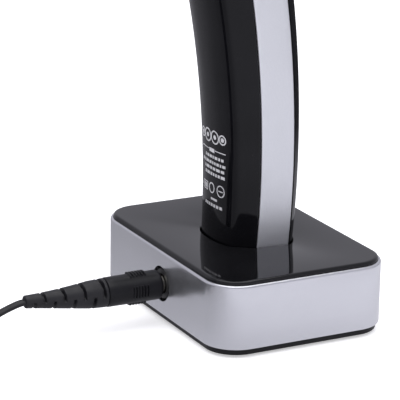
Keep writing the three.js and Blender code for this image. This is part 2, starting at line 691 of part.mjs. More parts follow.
function makeHead() {
  const collarZ = STRAIGHT_HEIGHT + 11.5 * Math.cos(HEAD_LEAN);
  const outline = handleLoop(collarZ, 0);
  const inset = handleLoop(collarZ, -0.8);
  const armWay = box(13.6, 15.8, -4.5, 0.1, 9, 15);
  const screwHole = join(rod(1.15, 9, 14, 12), rod(2.3, 11.9, 14, 14)).translate(6.5, -7.6, 0);
  const collar = cut(
    stack([[10.3, outline], [12.5, outline], [13.3, inset]]),
    prism(roundedRect(11.2, -4.6, 14.6, 4, 3), 9, 15),
    armWay,
    mirrored(armWay),
    screwHole,
    mirrored(screwHole),
  );
  add(head, 'head_collar', collar, 'glossBlack');
  const screw = (side) => turned([[0, 3], [0.85, 3], [0.85, 12.1], [2, 12.1], [2, 13.2], [0, 13.2]], 12)
    .translate(side * 6.5, -7.6, 0);
  for (const [side, word] of SIDES) {
    add(head, `collar_screw_${word}`, screw(side), 'steel');
  }

  const outside = stack([
    [13.6, roundedRect(13.1, -9.2, 12.6, 4, 3)],
    [20.4, roundedRect(12.9, -3.6, 12.1, 3.5, 3)],
    [20.45, roundedRect(12.8, -3.5, 9.1, 3, 3)],
    [23.6, roundedRect(12.4, 0.6, 9.1, 3, 3)],
  ]);
  const inside = stack([
    [13, roundedRect(11.7, -7.4, 11.2, 3, 3)],
    [20.5, roundedRect(11.5, -2, 10.4, 2.5, 3)],
    [24, roundedRect(11, 2.2, 10.4, 2, 3)],
  ]);
  const post = box(7.8, 11.8, 6.5, 9.1, 18.5, 23.6);
  const postHole = alongY(rod(1.1, 5, 10, 12)).translate(9.4, 0, 22.2);
  const housing = cut(
    join(cut(outside, inside), post, mirrored(post)),
    postHole,
    mirrored(postHole),
    box(-7.6, 7.6, 6, 12, 20.7, 25),
  );
  add(head, 'head_housing', housing, 'satinBlack');

  const fixedHole = alongY(rod(1.1, 8, 12, 12)).translate(9.4, 0, 22.2);
  const fixedOutline = bladeOutline(13.5, 20.9, 36, 1.1, 0.62, 3.2, 7.6);
  const fixed = cut(faceOut(bladePlate(fixedOutline, 9.4, 10.4)), fixedHole, mirrored(fixedHole));
  add(head, 'fixed_blade', fixed, 'steel');
  const movingOutline = bladeOutline(11.4, 24.6, 34.6, 1.3, 0.72, 2.8, 0);
  const peg = alongY(rod(1, 7.5, 10, 12)).translate(2.5, 0, 29);
  const moving = cut(faceOut(bladePlate(movingOutline, 8.1, 9.1)), peg, mirrored(peg));
  add(head, 'moving_blade', moving, 'darkSteel');
  const bladeScrew = turned([[0, -11.4], [1, -11.4], [1.6, -11.1], [1.6, -10.7], [0.8, -10.7], [0.8, -6],
    [0, -6]], 12);
  const placed = alongY(bladeScrew.rotateX(Math.PI)).translate(9.4, 0, 22.2);
  add(head, 'blade_screw_right', placed, 'steel');
  add(head, 'blade_screw_left', mirrored(placed), 'steel');
}

// ---- length comb and its dial -------------------------------------------------------------------
function gearOutline() {
  const pitchRadius = GEAR_MODULE * GEAR_TEETH / 2;
  const outline = [];
  for (let i = 0; i < GEAR_TEETH; i++) {
    const middle = (i + 0.5) / GEAR_TEETH * Math.PI * 2;
    const corners = [[1.85, -0.175], [pitchRadius, -0.115], [2.95, -0.045], [2.95, 0.045],
      [pitchRadius, 0.115], [1.85, 0.175]];
    for (const [radius, angle] of corners) {
      outline.push([radius * Math.cos(middle + angle), radius * Math.sin(middle + angle)]);
    }
  }
  return outline;
}

function makeDial() {
  const grips = 30;
  const rim = [];
  for (let i = 0; i < grips * 2; i++) {
    const angle = i / (grips * 2) * Math.PI * 2;
    const radius = DIAL_RADIUS - (i % 2) * 0.35;
    rim.push([radius * Math.cos(angle), radius * Math.sin(angle)]);
  }
  const dial = cut(
    join(
      slab(rim, -4, 4),
      slab(gearOutline(), 3.9, 6.4),
      slab(gearOutline(), -6.4, -3.9),
    ),
    alongX(rod(1.25, -8, 8, 16)),
  );
  add(head, 'length_dial', dial.translate(0, DIAL_V, DIAL_W), 'satinBlack');
  const axle = alongX(rod(1.12, -8.9, 8.9, 16)).translate(0, DIAL_V, DIAL_W);
  add(head, 'dial_axle', axle, 'steel');
}

function rackOutline(low, high) {
  const pitch = Math.PI * GEAR_MODULE;
  const rootLine = DIAL_V + GEAR_MODULE * GEAR_TEETH / 2 + 1.25 * GEAR_MODULE;
  const outline = [[rootLine + 1, low], [rootLine + 1, high]];
  const first = Math.floor((high - DIAL_W - 0.5) / pitch);
  const last = Math.ceil((low - DIAL_W + 0.5) / pitch);
  for (let k = first; k >= last; k--) {
    const w = DIAL_W + k * pitch;
    const corners = [[0, 0.38], [-0.625, 0.26], [-1.1, 0.13], [-1.1, -0.13], [-0.625, -0.26], [0, -0.38]];
    outline.push(...corners.map(([v, dw]) => [rootLine + v, w + dw]));
  }
  outline.splice(2, 0, [rootLine, high]);
  outline.push([rootLine, low]);
  return outline;
}

function makeComb() {
  const rootLine = DIAL_V + GEAR_MODULE * GEAR_TEETH / 2 + 1.25 * GEAR_MODULE;
  const backLine = rootLine + 1.45;
  const rail = join(slab(rackOutline(-21, -5.2), 4.7, 6.5), box(4.7, 7.2, rootLine + 0.2, backLine, -26, 0));
  const wing = join(
    box(4.7, 13.2, rootLine + 0.2, backLine, -14, -6),
    box(12.3, 13.2, rootLine + 0.2, -0.5, -14, -6),
  );
  const carriage = join(
    rail, mirrored(rail), wing, mirrored(wing),
    box(-7.2, 7.2, rootLine + 0.2, backLine, -1.4, 0),
    box(-7.2, 7.2, rootLine + 0.2, backLine, -26, -24.6),
  );
  add(head, 'comb_carriage', carriage, 'greyPlastic');

  const arm = slab([
    [-3.9, -9], [-0.6, -9], [-0.6, 17], [1, 19.5], [9, 17.2], [12.9, 15.6], [14.4, 15.6],
    [14.4, 19.6], [9, 24.5], [2, 28.5], [-1.6, 28.5], [-3.9, 24],
  ], 14, 15.4);
  const tine = (x) => slab([
    [12.8, 15.9], [14.3, 15.9], [14.6, 22], [14.9, 29], [14.4, 35.5], [12.8, 40.6], [11, 43.4],
    [10.4, 43], [11.4, 39.6], [12.3, 34.5], [12.4, 28],
  ], x - 0.55, x + 0.55);
  const tines = [];
  for (let i = -6; i <= 6; i++) {
    tines.push(tine(i * 2.15));
  }
  const comb = join(
    arm,
    mirrored(arm),
    box(-15, 15, 12.9, 14.4, 15.6, 19.4),
    ...tines,
  );
  add(head, 'guide_comb', comb, 'satinBlack');
}

// ---- lead, coil and wall adapter ------------------------------------------------------------------
function reliefCentre(y) {
  const t = THREE.MathUtils.clamp((y - PLUG_END) / (RELIEF_END - PLUG_END), 0, 1);
  return JACK_Z + RELIEF_RISE * t * t;
}

function ringAlongY(y, radius, x, z, sides = 16) {
  return Array.from({ length: sides }, (_, i) => {
    const angle = i / sides * Math.PI * 2;
    return new THREE.Vector3(x + radius * Math.cos(angle), y, z + radius * Math.sin(angle));
  });
}

function taper(stations, x, centreAt) {
  const rings = stations.map(([y, radius]) => ringAlongY(y, radius, x, centreAt(y)));
  const flat = rings[0].map((point) => [point.x, point.z]);
  return loft(rings, flat);
}

function makeLead() {
  const barrel = turned([[1.25, 19.2], [2.75, 19.2], [2.75, 30.7], [1.25, 30.7], [1.25, 19.2]], 20);
  add(root, 'plug_barrel', alongY(barrel).translate(JACK_X, 0, JACK_Z), 'nickel');

  const padReach = PLUG_RADIUS + 0.4;
  const pads = join(
    box(-1.9, 1.9, 36, 41.5, -padReach, padReach),
    box(-padReach, padReach, 36, 41.5, -1.9, 1.9),
  ).translate(JACK_X, 0, JACK_Z);
  const body = taper(
    [[PLUG_START, PLUG_RADIUS - 0.8], [PLUG_START + 0.8, PLUG_RADIUS], [PLUG_END, PLUG_RADIUS - 0.05]],
    JACK_X,
    () => JACK_Z,
  );
  add(root, 'plug_body', join(body, pads), 'rubberBlack');

  const relief = taper(
    [[PLUG_END + GAP, 4.5], [54.4, 4.3], [59.7, 3.6], [65.1, 2.95], [70.4, 2.4], [RELIEF_END, 1.95]],
    JACK_X,
    reliefCentre,
  );
  add(root, 'plug_strain_relief', relief, 'rubberBlack');

  const runOut = [
    [-3, 76.7, 13.3], [-3, 79.5, 12.6], [-2.9, 83.6, 11.1], [-2.7, 87, 9.3], [-2.5, 90, 7.4],
    [-2.3, 92.6, 5.7],
  ];
  add(root, 'cord_to_coil', tube(runOut, CORD_WIDTH / 2, 8, 2), 'rubberBlack');

  const [coilX, coilY] = COIL_CENTRE;
  const coil = turned([[COIL_INNER, COIL_BOTTOM], [COIL_OUTER, COIL_BOTTOM], [COIL_OUTER, COIL_TOP],
    [COIL_INNER, COIL_TOP], [COIL_INNER, COIL_BOTTOM]], 28);
  add(root, 'cord_coil', coil.translate(coilX, coilY, 0), 'rubberBlack');
  const tieHalf = 3.2;
  const tie = cut(
    box(COIL_INNER - 1.4, COIL_OUTER + 1.2, -tieHalf, tieHalf, 0.1, COIL_TOP + 1),
    box(COIL_INNER - 0.7, COIL_OUTER + 0.4, -tieHalf - 1, tieHalf + 1, 0.85, COIL_TOP + 0.3),
  );
  add(root, 'cord_tie', tie.translate(coilX, coilY, 0), 'satinBlack');

  const runIn = [
    [-2.1, 119.2, 7.1], [-2.1, 123, 6.6], [-2.05, 128, 6.9], [-2, 132.6, 7.6],
  ];
  add(root, 'cord_to_adapter', tube(runIn, CORD_WIDTH / 2, 8, 2), 'rubberBlack');
}

function makeAdapter() {
  const relief = taper([[133, 2], [139, 2.7], [144.7, 3.6]], ADAPTER_X, () => 7.8);
  add(root, 'adapter_strain_relief', relief, 'rubberBlack');
  const outline = (inset) => roundedRect(ADAPTER_HALF_X - inset, inset, ADAPTER_HEIGHT - inset, 4 - inset, 3);
  const lying = (geometry) => faceOut(geometry.applyMatrix4(new THREE.Matrix4().set(
    1, 0, 0, ADAPTER_X, 0, 0, 1, 0, 0, 1, 0, 0, 0, 0, 0, 1,
  )));
  const shell = lying(stack([
    [ADAPTER_START, outline(1.2)],
    [ADAPTER_START + 1.2, outline(0)],
    [ADAPTER_SPLIT, outline(0)],
  ]));
  const hollow = lying(prism(outline(2), ADAPTER_START + 2.2, ADAPTER_SPLIT + 1));
  add(root, 'adapter_case', cut(shell, hollow), 'satinBlack');
  const cover = lying(stack([
    [ADAPTER_SPLIT + GAP, outline(0)],
    [ADAPTER_END - 1.2, outline(0)],
    [ADAPTER_END, outline(1.2)],
  ]));
  const pinHole = (side) => alongY(rod(2.3, 189, 200, 16)).translate(ADAPTER_X + side * 9.5, 0, 14);
  add(root, 'adapter_pin_cover', cut(cover, pinHole(-1), pinHole(1)), 'satinBlack');
  const pin = (side) => alongY(turned([[0, 186], [2, 186], [2, 216.4], [1, 217.4], [0, 217.4]], 14))
    .translate(ADAPTER_X + side * 9.5, 0, 14);
  const web = box(ADAPTER_X - 12, ADAPTER_X + 12, 185.5, 188.5, 11, 17);
  add(root, 'adapter_pins', join(pin(-1), pin(1), web), 'nickel');
  const core = join(
    box(ADAPTER_X - 15, ADAPTER_X + 15, 153, 181, 4, 24),
    box(ADAPTER_X - 9, ADAPTER_X + 9, 149.5, 184.5, 6, 22),
  );
  add(root, 'adapter_transformer', core, 'darkSteel');
}

makeStand();
makeJack();
makeContacts();
makeShells();
makeFoot();
makeInsides();
makeDrive();
makeHead();
makeDial();
makeComb();
makeLead();
makeAdapter();

export default root;
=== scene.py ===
# Looks of the beard trimmer in its charging stand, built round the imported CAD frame.
# Shapes are worked out in millimetres, as in the part's source, and scaled to metres once.
import json
import math
import random

import bmesh
import bpy
import numpy as np
from mathutils import Matrix


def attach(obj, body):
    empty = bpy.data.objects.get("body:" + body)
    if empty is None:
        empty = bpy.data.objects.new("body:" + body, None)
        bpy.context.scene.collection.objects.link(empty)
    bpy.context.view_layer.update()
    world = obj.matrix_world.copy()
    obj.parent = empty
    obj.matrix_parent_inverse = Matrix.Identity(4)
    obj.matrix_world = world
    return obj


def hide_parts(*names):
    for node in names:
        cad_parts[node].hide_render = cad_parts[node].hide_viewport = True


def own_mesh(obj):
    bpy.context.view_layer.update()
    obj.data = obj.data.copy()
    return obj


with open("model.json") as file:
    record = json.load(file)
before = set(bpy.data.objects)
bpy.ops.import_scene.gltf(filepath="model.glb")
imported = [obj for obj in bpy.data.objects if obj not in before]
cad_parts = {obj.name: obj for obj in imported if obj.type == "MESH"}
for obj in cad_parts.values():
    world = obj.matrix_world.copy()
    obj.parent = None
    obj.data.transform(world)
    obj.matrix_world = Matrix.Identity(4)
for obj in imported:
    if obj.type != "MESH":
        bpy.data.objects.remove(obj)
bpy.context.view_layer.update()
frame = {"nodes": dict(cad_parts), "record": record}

MM = 0.001
SEED = 7

# ---- dimensions repeated from the part's source ----
GAP = 0.3
STAND_HALF_X, STAND_HALF_Y, STAND_CORNER = 42.18, 30.0, 10.8
FOOT_DROP = 0.8
BAND_BOTTOM, BAND_TOP, BAND_WALL = 2.75, 22.85, 2.0
PLATE_TOP = 24.07
POCKET_FLOOR, POCKET_GAP = 20.3, 0.4
HANDLE_BOTTOM = POCKET_FLOOR + GAP
BEND_HEIGHT, BEND_OFFSET, BEND_PARABOLA = 45.8, -3.4, 674.0
STRAIGHT_HEIGHT = 120.0
GROWTH, GROWTH_START = 0.0016, 24.8
WALL, SEAM = 1.5, 0.25
STRIP_HALF, STRIP_THICK, FLANGE_THICK = 5.3, 1.0, 1.3
SHELL_TOP_W = 10.0
PIN_X = 5.0
DIAL_RADIUS, DIAL_V, DIAL_W = 6.0, -7.4, -8.0
JACK_X, JACK_Z = -3.0, 12.55
AT_JACK = (JACK_X, 0, JACK_Z)
PLUG_END = 49.3
RELIEF_END, RELIEF_RISE = 75.8, 0.92
SCREW_SPOTS = [(-27.0, 0.0), (27.0, 0.0)]
SIDES = [(-1, "left"), (1, "right")]


# ---- camera ----
def make_camera():
    azimuth, elevation, roll = (math.radians(a) for a in (242.27, 17.07, 0.98))
    back = np.array([
        math.sin(azimuth) * math.cos(elevation),
        -math.cos(azimuth) * math.cos(elevation),
        math.sin(elevation),
    ])
    level = np.cross([0, 0, 1], back)
    level /= np.linalg.norm(level)
    upright = np.cross(back, level)
    right = math.cos(roll) * level + math.sin(roll) * upright
    up = -math.sin(roll) * level + math.cos(roll) * upright
    data = bpy.data.cameras.new("camera")
    data.sensor_width = 36
    data.lens = 195.911
    data.shift_x = -0.006275
    data.shift_y = -0.0249
    data.clip_start = 0.01
    data.clip_end = 60
    camera = bpy.data.objects.new("camera", data)
    bpy.context.scene.collection.objects.link(camera)
    place = (-0.570912, 0.314542, 0.238038)
    rows = [[right[i], up[i], back[i], place[i]] for i in range(3)]
    camera.matrix_world = Matrix(rows + [[0, 0, 0, 1]])
    bpy.context.scene.camera = camera


make_camera()


# ---- curves and outlines ----
def smooth(points, per_span, closed=False):
    """A centripetal Catmull-Rom line through the points."""
    pts = np.array(points, float)
    if closed:
        ext = np.vstack([pts[-1], pts, pts[0], pts[1]])
    else:
        ext = np.vstack([2 * pts[0] - pts[1], pts, 2 * pts[-1] - pts[-2]])
    out = []
    for i in range(len(ext) - 3):
        p = ext[i:i + 4]
        t = [0.0]
        for k in range(3):
            t.append(t[-1] + max(np.linalg.norm(p[k + 1] - p[k]), 1e-9) ** 0.5)
        for k in range(per_span):
            u = t[1] + (t[2] - t[1]) * k / per_span
            a = [(t[j + 1] - u) / (t[j + 1] - t[j]) * p[j] + (u - t[j]) / (t[j + 1] - t[j]) * p[j + 1]
                 for j in range(3)]
            b = [(t[j + 2] - u) / (t[j + 2] - t[j]) * a[j] + (u - t[j]) / (t[j + 2] - t[j]) * a[j + 1]
                 for j in range(2)]
            out.append((t[2] - u) / (t[2] - t[1]) * b[0] + (u - t[1]) / (t[2] - t[1]) * b[1])
    if not closed:
        out.append(pts[-1])
    return np.array(out)


def eased(outline, radius, steps=4, sharp=0.25):
    """A closed outline with each corner that turns by more than `sharp` radians rounded off."""
    pts = [np.array(p, float) for p in outline]
    out = []
    for i, p in enumerate(pts):
        before, after = pts[i - 1] - p, pts[(i + 1) % len(pts)] - p
        lb, la = np.linalg.norm(before), np.linalg.norm(after)
        turn = math.acos(np.clip(-before @ after / (lb * la), -1, 1))
        if turn < sharp:
            out.append(p)
            continue
        reach = min(radius, 0.45 * lb, 0.45 * la)
        a, b = p + before / lb * reach, p + after / la * reach
        for k in range(steps + 1):
            u = k / steps
            out.append((1 - u) ** 2 * a + 2 * u * (1 - u) * p + u * u * b)
    return out


def rounded_rect(half_x, y0, y1, radius, steps=12):
    corners = [(half_x - radius, y1 - radius), (-half_x + radius, y1 - radius),
               (-half_x + radius, y0 + radius), (half_x - radius, y0 + radius)]
    out = []
    for quarter, (x, y) in enumerate(corners):
        for i in range(steps + 1):
            angle = (quarter + i / steps) * math.pi / 2
            out.append((x + radius * math.cos(angle), y + radius * math.sin(angle)))
    return out


def stand_outline(inset, steps=16):
    radius = STAND_CORNER - inset
    return rounded_rect(STAND_HALF_X - inset, -STAND_HALF_Y + inset, STAND_HALF_Y - inset, radius, steps)


def angles_about(outline, centre):
    return [math.atan2(y - centre[1], x - centre[0]) for x, y in outline]


def shared_angles(first, second, centre):
    """The directions from the centre to both outlines' points, without the ones too close together."""
    angles = sorted(set(round(a, 5) for a in angles_about(first, centre) + angles_about(second, centre)))
    return [a for i, a in enumerate(angles) if i == 0 or a - angles[i - 1] > 0.004]


def ray_ring(outline, centre, angles):
    """The outline sampled where rays from the centre cross it, so that rings of one shape match another's."""
    pts = np.array(outline, float) - centre
    a, b = pts, np.roll(pts, -1, axis=0)
    ring = []
    for angle in angles:
        d = np.array([math.cos(angle), math.sin(angle)])
        e = b - a
        cross = d[0] * e[:, 1] - d[1] * e[:, 0]
        cross = np.where(np.abs(cross) < 1e-12, 1e-12, cross)
        along = (a[:, 0] * e[:, 1] - a[:, 1] * e[:, 0]) / cross
        part = (a[:, 0] * d[1] - a[:, 1] * d[0]) / cross
        good = (part > -1e-6) & (part < 1 + 1e-6) & (along > 0)
        ring.append(tuple(d * along[good].max() + centre))
    return ring


# ---- meshes ----
def new_solid(verts, faces, name="solid"):
    mesh = bpy.data.meshes.new(name)
    mesh.from_pydata([tuple(float(c) * MM for c in v) for v in verts], [], faces)
    bm = bmesh.new()
    bm.from_mesh(mesh)
    bmesh.ops.remove_doubles(bm, verts=bm.verts, dist=1e-7)
    bmesh.ops.recalc_face_normals(bm, faces=bm.faces)
    bm.to_mesh(mesh)
    bm.free()
    obj = bpy.data.objects.new(name, mesh)
    bpy.context.scene.collection.objects.link(obj)
    return obj


def loft(rings, loop=False):
    """Skins equal rings of points; loop joins the last ring to the first, and open ends get caps."""
    n, count = len(rings[0]), len(rings)
    verts = [p for ring in rings for p in ring]
    faces = []
    for r in range(count if loop else count - 1):
        a, b = r * n, (r + 1) % count * n
        for i in range(n):
            j = (i + 1) % n
            faces.append((a + i, a + j, b + j, b + i))
    if not loop:
        faces.append(tuple(reversed(range(n))))
        faces.append(tuple(range((count - 1) * n, count * n)))
    return new_solid(verts, faces)


def tilted(height):
    """Turns local (x, v, w) points of the handle at a height into the row frame."""
    y, lean = spine(height)
    return Matrix.Translation((0, y, height)) @ Matrix.Rotation(-lean, 4, "X")


def moved(obj, matrix):
    scaled = matrix.copy()
    scaled.translation *= MM
    obj.data.transform(scaled)
    if matrix.determinant() < 0:
        obj.data.flip_normals()
    return obj


def mirrored(obj):
    twin = obj.copy()
    twin.data = obj.data.copy()
    bpy.context.scene.collection.objects.link(twin)
    return moved(twin, Matrix.Scale(-1, 4, (1, 0, 0)))


def pair(obj):
    return [obj, mirrored(obj)]


def turned(profile, axis="z", at=(0, 0, 0), sides=32, loop=False):
    """A turned piece from [radius, height] pairs; a profile that isn't a loop starts and ends on the axis."""
    rings = []
    for r, h in profile:
        ring = []
        for i in range(sides):
            c, s = max(r, 1e-4) * math.cos(i / sides * math.tau), max(r,
                                                                      1e-4) * math.sin(i / sides * math.tau)
            local = {"z": (c, s, h), "y": (c, h, s), "x": (h, c, s)}[axis]
            ring.append(tuple(a + b for a, b in zip(local, at)))
        rings.append(ring)
    return loft(rings, loop)


def rod(radius, low, high, axis="z", at=(0, 0, 0), sides=32):
    return turned([(0, low), (radius, low), (radius, high), (0, high)], axis, at, sides)


def prism(outline, low, high, axis="z", ease=0.0):
    """A closed outline extruded along an axis, with both ends' edges eased."""
    levels = [(low, 0.0), (high, 0.0)]
    if ease:
        levels = [(low, ease), (low + 0.3 * ease, 0.3 * ease), (low + ease, 0.0),
                  (high - ease, 0.0), (high - 0.3 * ease, 0.3 * ease), (high, ease)]
    pts = np.array(outline, float)
    ahead, behind = np.roll(pts, -1, axis=0) - pts, pts - np.roll(pts, 1, axis=0)
    along = ahead / np.linalg.norm(ahead, axis=1)[:, None] + behind / np.linalg.norm(behind, axis=1)[:, None]
    along /= np.linalg.norm(along, axis=1)[:, None]
    normal = np.stack([along[:, 1], -along[:, 0]], axis=1)
    area = 0.5 * np.sum(pts[:, 0] * np.roll(pts[:, 1], -1) - pts[:, 1] * np.roll(pts[:, 0], -1))
    if area < 0:
        normal = -normal
    turn = {"z": lambda a, b, c: (a, b, c),
            "x": lambda a, b, c: (c, a, b),
            "y": lambda a, b, c: (a, c, b)}[axis]
    return loft([[turn(a, b, level) for a, b in pts - normal * inset] for level, inset in levels])


def block(x0, x1, y0, y1, z0, z1, ease=0.0):
    outline = [(x0, y0), (x1, y0), (x1, y1), (x0, y1)]
    if ease:
        outline = eased(outline, ease, 3)
    return prism(outline, z0, z1, "z", ease)


def apply_modifiers(obj):
    graph = bpy.context.evaluated_depsgraph_get()
    mesh = bpy.data.meshes.new_from_object(obj.evaluated_get(graph))
    old = obj.data
    obj.modifiers.clear()
    obj.data = mesh
    bpy.data.meshes.remove(old)
    return obj


def boolean(base, operation, tools):
    for tool in tools:
        step = base.modifiers.new("step", "BOOLEAN")
        step.operation = operation
        step.solver = "MANIFOLD"
        step.object = tool
        apply_modifiers(base)
        bpy.data.objects.remove(tool)
    return base


def cut(base, *tools):
    return boolean(base, "DIFFERENCE", tools)


def join(base, *tools):
    return boolean(base, "UNION", tools)


def piece(solid, name, body, slot, stands_for=(), crease=30, look=None):
    """Names a finished solid, shades it, gives it its slot's look or its own, and ties it to its CAD body."""
    solid.name = name
    solid.data.name = name
    solid.data.materials.clear()
    solid.data.materials.append(look or LOOKS[slot])
    for face in solid.data.polygons:
        face.material_index = 0
    solid.data.shade_smooth()
    solid.data.set_sharp_from_angle(angle=math.radians(crease))
    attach(solid, body)
    if stands_for:
        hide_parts(*stands_for)
    return solid


# ---- materials ----
class Look:
    """A Principled material and the few node chains that the looks share."""

    def __init__(self, name):
        self.material = bpy.data.materials.new(name)
        self.material.use_nodes = True
        self.nodes = self.material.node_tree.nodes
        self.links = self.material.node_tree.links
        self.nodes.clear()
        out = self.nodes.new("ShaderNodeOutputMaterial")
        self.shader = self.nodes.new("ShaderNodeBsdfPrincipled")
        self.links.new(self.shader.outputs[0], out.inputs[0])
        self.coord = self.nodes.new("ShaderNodeTexCoord")
        self.heights = []

    def set(self, **values):
        for key, value in values.items():
            self.shader.inputs[key.replace("_", " ")].default_value = value

    def noise(self, size_mm, detail=2.0, stretch=(1, 1, 1)):
        place = self.nodes.new("ShaderNodeMapping")
        place.inputs["Scale"].default_value = stretch
        self.links.new(self.coord.outputs["Object"], place.inputs["Vector"])
        tex = self.nodes.new("ShaderNodeTexNoise")
        tex.inputs["Scale"].default_value = 1000 / size_mm
        tex.inputs["Detail"].default_value = detail
        self.links.new(place.outputs[0], tex.inputs["Vector"])
        return tex.outputs["Fac"]

    def cells(self, size_mm):
        tex = self.nodes.new("ShaderNodeTexVoronoi")
        tex.inputs["Scale"].default_value = 1000 / size_mm
        self.links.new(self.coord.outputs["Object"], tex.inputs["Vector"])
        split = self.nodes.new("ShaderNodeSeparateColor")
        self.links.new(tex.outputs["Color"], split.inputs[0])
        return split.outputs[0]

    def ranged(self, value, low, high, start=0.3, end=0.7):
        node = self.nodes.new("ShaderNodeMapRange")
        for key, number in (("From Min", start), ("From Max", end), ("To Min", low), ("To Max", high)):
            node.inputs[key].default_value = number
        self.links.new(value, node.inputs["Value"])
        return node.outputs[0]

    def mix(self, factor, first, second):
        node = self.nodes.new("ShaderNodeMix")
        node.data_type = "RGBA"
        self.links.new(factor, node.inputs[0])
        for socket, value in ((node.inputs[6], first), (node.inputs[7], second)):
            if isinstance(value, tuple):
                socket.default_value = (*value, 1)
            else:
                self.links.new(value, socket)
        return node.outputs[2]

    def colour(self, value):
        self.links.new(value, self.shader.inputs["Base Color"])

    def roughness(self, value):
        self.links.new(value, self.shader.inputs["Roughness"])

    def bump(self, height, depth_mm, strength=1.0):
        node = self.nodes.new("ShaderNodeBump")
        node.inputs["Distance"].default_value = depth_mm * MM
        node.inputs["Strength"].default_value = strength
        self.links.new(height, node.inputs["Height"])
        if self.heights:
            self.links.new(self.heights[-1], node.inputs["Normal"])
        self.heights.append(node.outputs[0])
        self.links.new(node.outputs[0], self.shader.inputs["Normal"])


def plastic(name, dark, light, rough, ior=1.46, grain=(0.25, 0.004), cloud_mm=9.0, specks=0.0):
    look = Look(name)
    look.set(IOR=ior)
    cloud = look.noise(cloud_mm, 4)
    base = look.mix(look.ranged(cloud, 0, 1), dark, light)
    if specks:
        dust = look.ranged(look.noise(0.7, 1), 0, specks, 0.74, 0.8)
        base = look.mix(dust, base, (0.25, 0.25, 0.26))
    look.colour(base)
    look.roughness(look.ranged(look.noise(cloud_mm * 0.45, 5), rough[0], rough[1]))
    size, depth = grain
    if depth:
        look.bump(look.noise(size, 3), depth)
    return look.material


def metal(name, dark, light, rough, streak=(1, 1, 14), size_mm=1.2, metallic=1.0, depth=0.003):
    look = Look(name)
    look.set(Metallic=metallic)
    fibre = look.noise(size_mm, 4, streak)
    look.colour(look.mix(look.ranged(fibre, 0, 1), dark, light))
    look.roughness(look.ranged(look.noise(size_mm * 2, 3, streak), rough[0], rough[1]))
    look.bump(fibre, depth)
    return look.material


def satin(name, dark, light, rough, metallic):
    """Silver paint: fine flakes that differ a little in brightness, under a faint moulded ripple."""
    look = Look(name)
    look.set(Metallic=metallic, IOR=1.5)
    flake = look.ranged(look.cells(0.11), 0, 1, 0, 1)
    shade = look.mix(flake, dark, light)
    broad = look.ranged(look.noise(14, 3), 0, 0.35)
    look.colour(look.mix(broad, shade, dark))
    look.roughness(look.ranged(look.noise(5, 4), rough[0], rough[1]))
    look.bump(look.noise(0.14, 2), 0.0022)
    look.bump(look.noise(6, 1), 0.006)
    return look.material


LOOKS = {
    "gloss_black": plastic("gloss_black", (0.0025, 0.0025, 0.0034), (0.0045, 0.0045, 0.0058), (0.05, 0.1),
                           ior=1.3, grain=(5, 0.0008), cloud_mm=16, specks=0.04),
    "satin_black": plastic("satin_black", (0.009, 0.009, 0.011), (0.014, 0.014, 0.016), (0.36, 0.48),
                           ior=1.45, grain=(0.22, 0.006)),
    "rubber_black": plastic("rubber_black", (0.0075, 0.0075, 0.0095), (0.012, 0.012, 0.0145), (0.42, 0.55),
                            ior=1.42, grain=(0.3, 0.007), cloud_mm=5),
    "satin_silver": satin("satin_silver", (0.595, 0.60, 0.63), (0.67, 0.675, 0.705), (0.2, 0.26), 0.92),
    "steel": metal("steel", (0.50, 0.50, 0.51), (0.66, 0.66, 0.67), (0.16, 0.3)),
    "dark_steel": metal("dark_steel", (0.20, 0.20, 0.21), (0.31, 0.31, 0.32), (0.28, 0.42)),
    "nickel": metal("nickel", (0.52, 0.50, 0.45), (0.68, 0.66, 0.60), (0.16, 0.28), size_mm=0.8),
    "brass": metal("brass", (0.55, 0.39, 0.12), (0.74, 0.55, 0.21), (0.16, 0.3), size_mm=0.8),
    "circuit_board": plastic("circuit_board", (0.008, 0.075, 0.022), (0.02, 0.14, 0.045), (0.3, 0.42),
                             grain=(0.8, 0.02), cloud_mm=2.5),
    "grey_plastic": plastic("grey_plastic", (0.075, 0.076, 0.08), (0.105, 0.106, 0.11), (0.45, 0.6),
                            grain=(0.3, 0.008)),
    "white_plastic": plastic("white_plastic", (0.72, 0.72, 0.69), (0.80, 0.80, 0.77), (0.38, 0.5),
                             grain=(0.3, 0.005)),
    "battery_sleeve": plastic("battery_sleeve", (0.02, 0.13, 0.30), (0.04, 0.18, 0.38), (0.25, 0.36),
                              grain=(1.4, 0.01), cloud_mm=6),
    "wire_red": plastic("wire_red", (0.30, 0.012, 0.01), (0.42, 0.02, 0.016), (0.4, 0.5), grain=(0.4, 0.01)),
}


def lens_look():
    look = Look("clear_lens")
    look.set(IOR=1.49, Transmission_Weight=0.75)
    look.colour(look.mix(look.ranged(look.noise(0.6, 2), 0, 1), (0.80, 0.87, 0.90), (0.92, 0.95, 0.97)))
    look.roughness(look.ranged(look.noise(0.3, 3), 0.12, 0.22))
    look.bump(look.noise(0.35, 2), 0.01)
    return look.material


LOOKS["clear_lens"] = lens_look()
# The same finishes read a little differently from piece to piece, so some pieces have their own mix.
PLATE_LOOK = plastic("plate_gloss", (0.004, 0.004, 0.005), (0.007, 0.007, 0.008), (0.03, 0.06),
                     ior=1.36, grain=(5, 0.0008), cloud_mm=18, specks=0.05)
TRAY_LOOK = plastic("tray_black", (0.004, 0.004, 0.005), (0.007, 0.007, 0.008), (0.4, 0.5), ior=1.3,
                    grain=(0.22, 0.006))
PLUG_LOOK = plastic("plug_black", (0.0035, 0.0035, 0.005), (0.006, 0.006, 0.008), (0.36, 0.46), ior=1.33,
                    grain=(0.3, 0.006), cloud_mm=5)
STRIP_LOOK = satin("strip_silver", (0.62, 0.63, 0.66), (0.70, 0.71, 0.74), (0.34, 0.4), 0.72)
PRINT = plastic("pale_print", (0.46, 0.46, 0.47), (0.60, 0.60, 0.62), (0.45, 0.6), grain=(0.12, 0.004),
                cloud_mm=1.2)

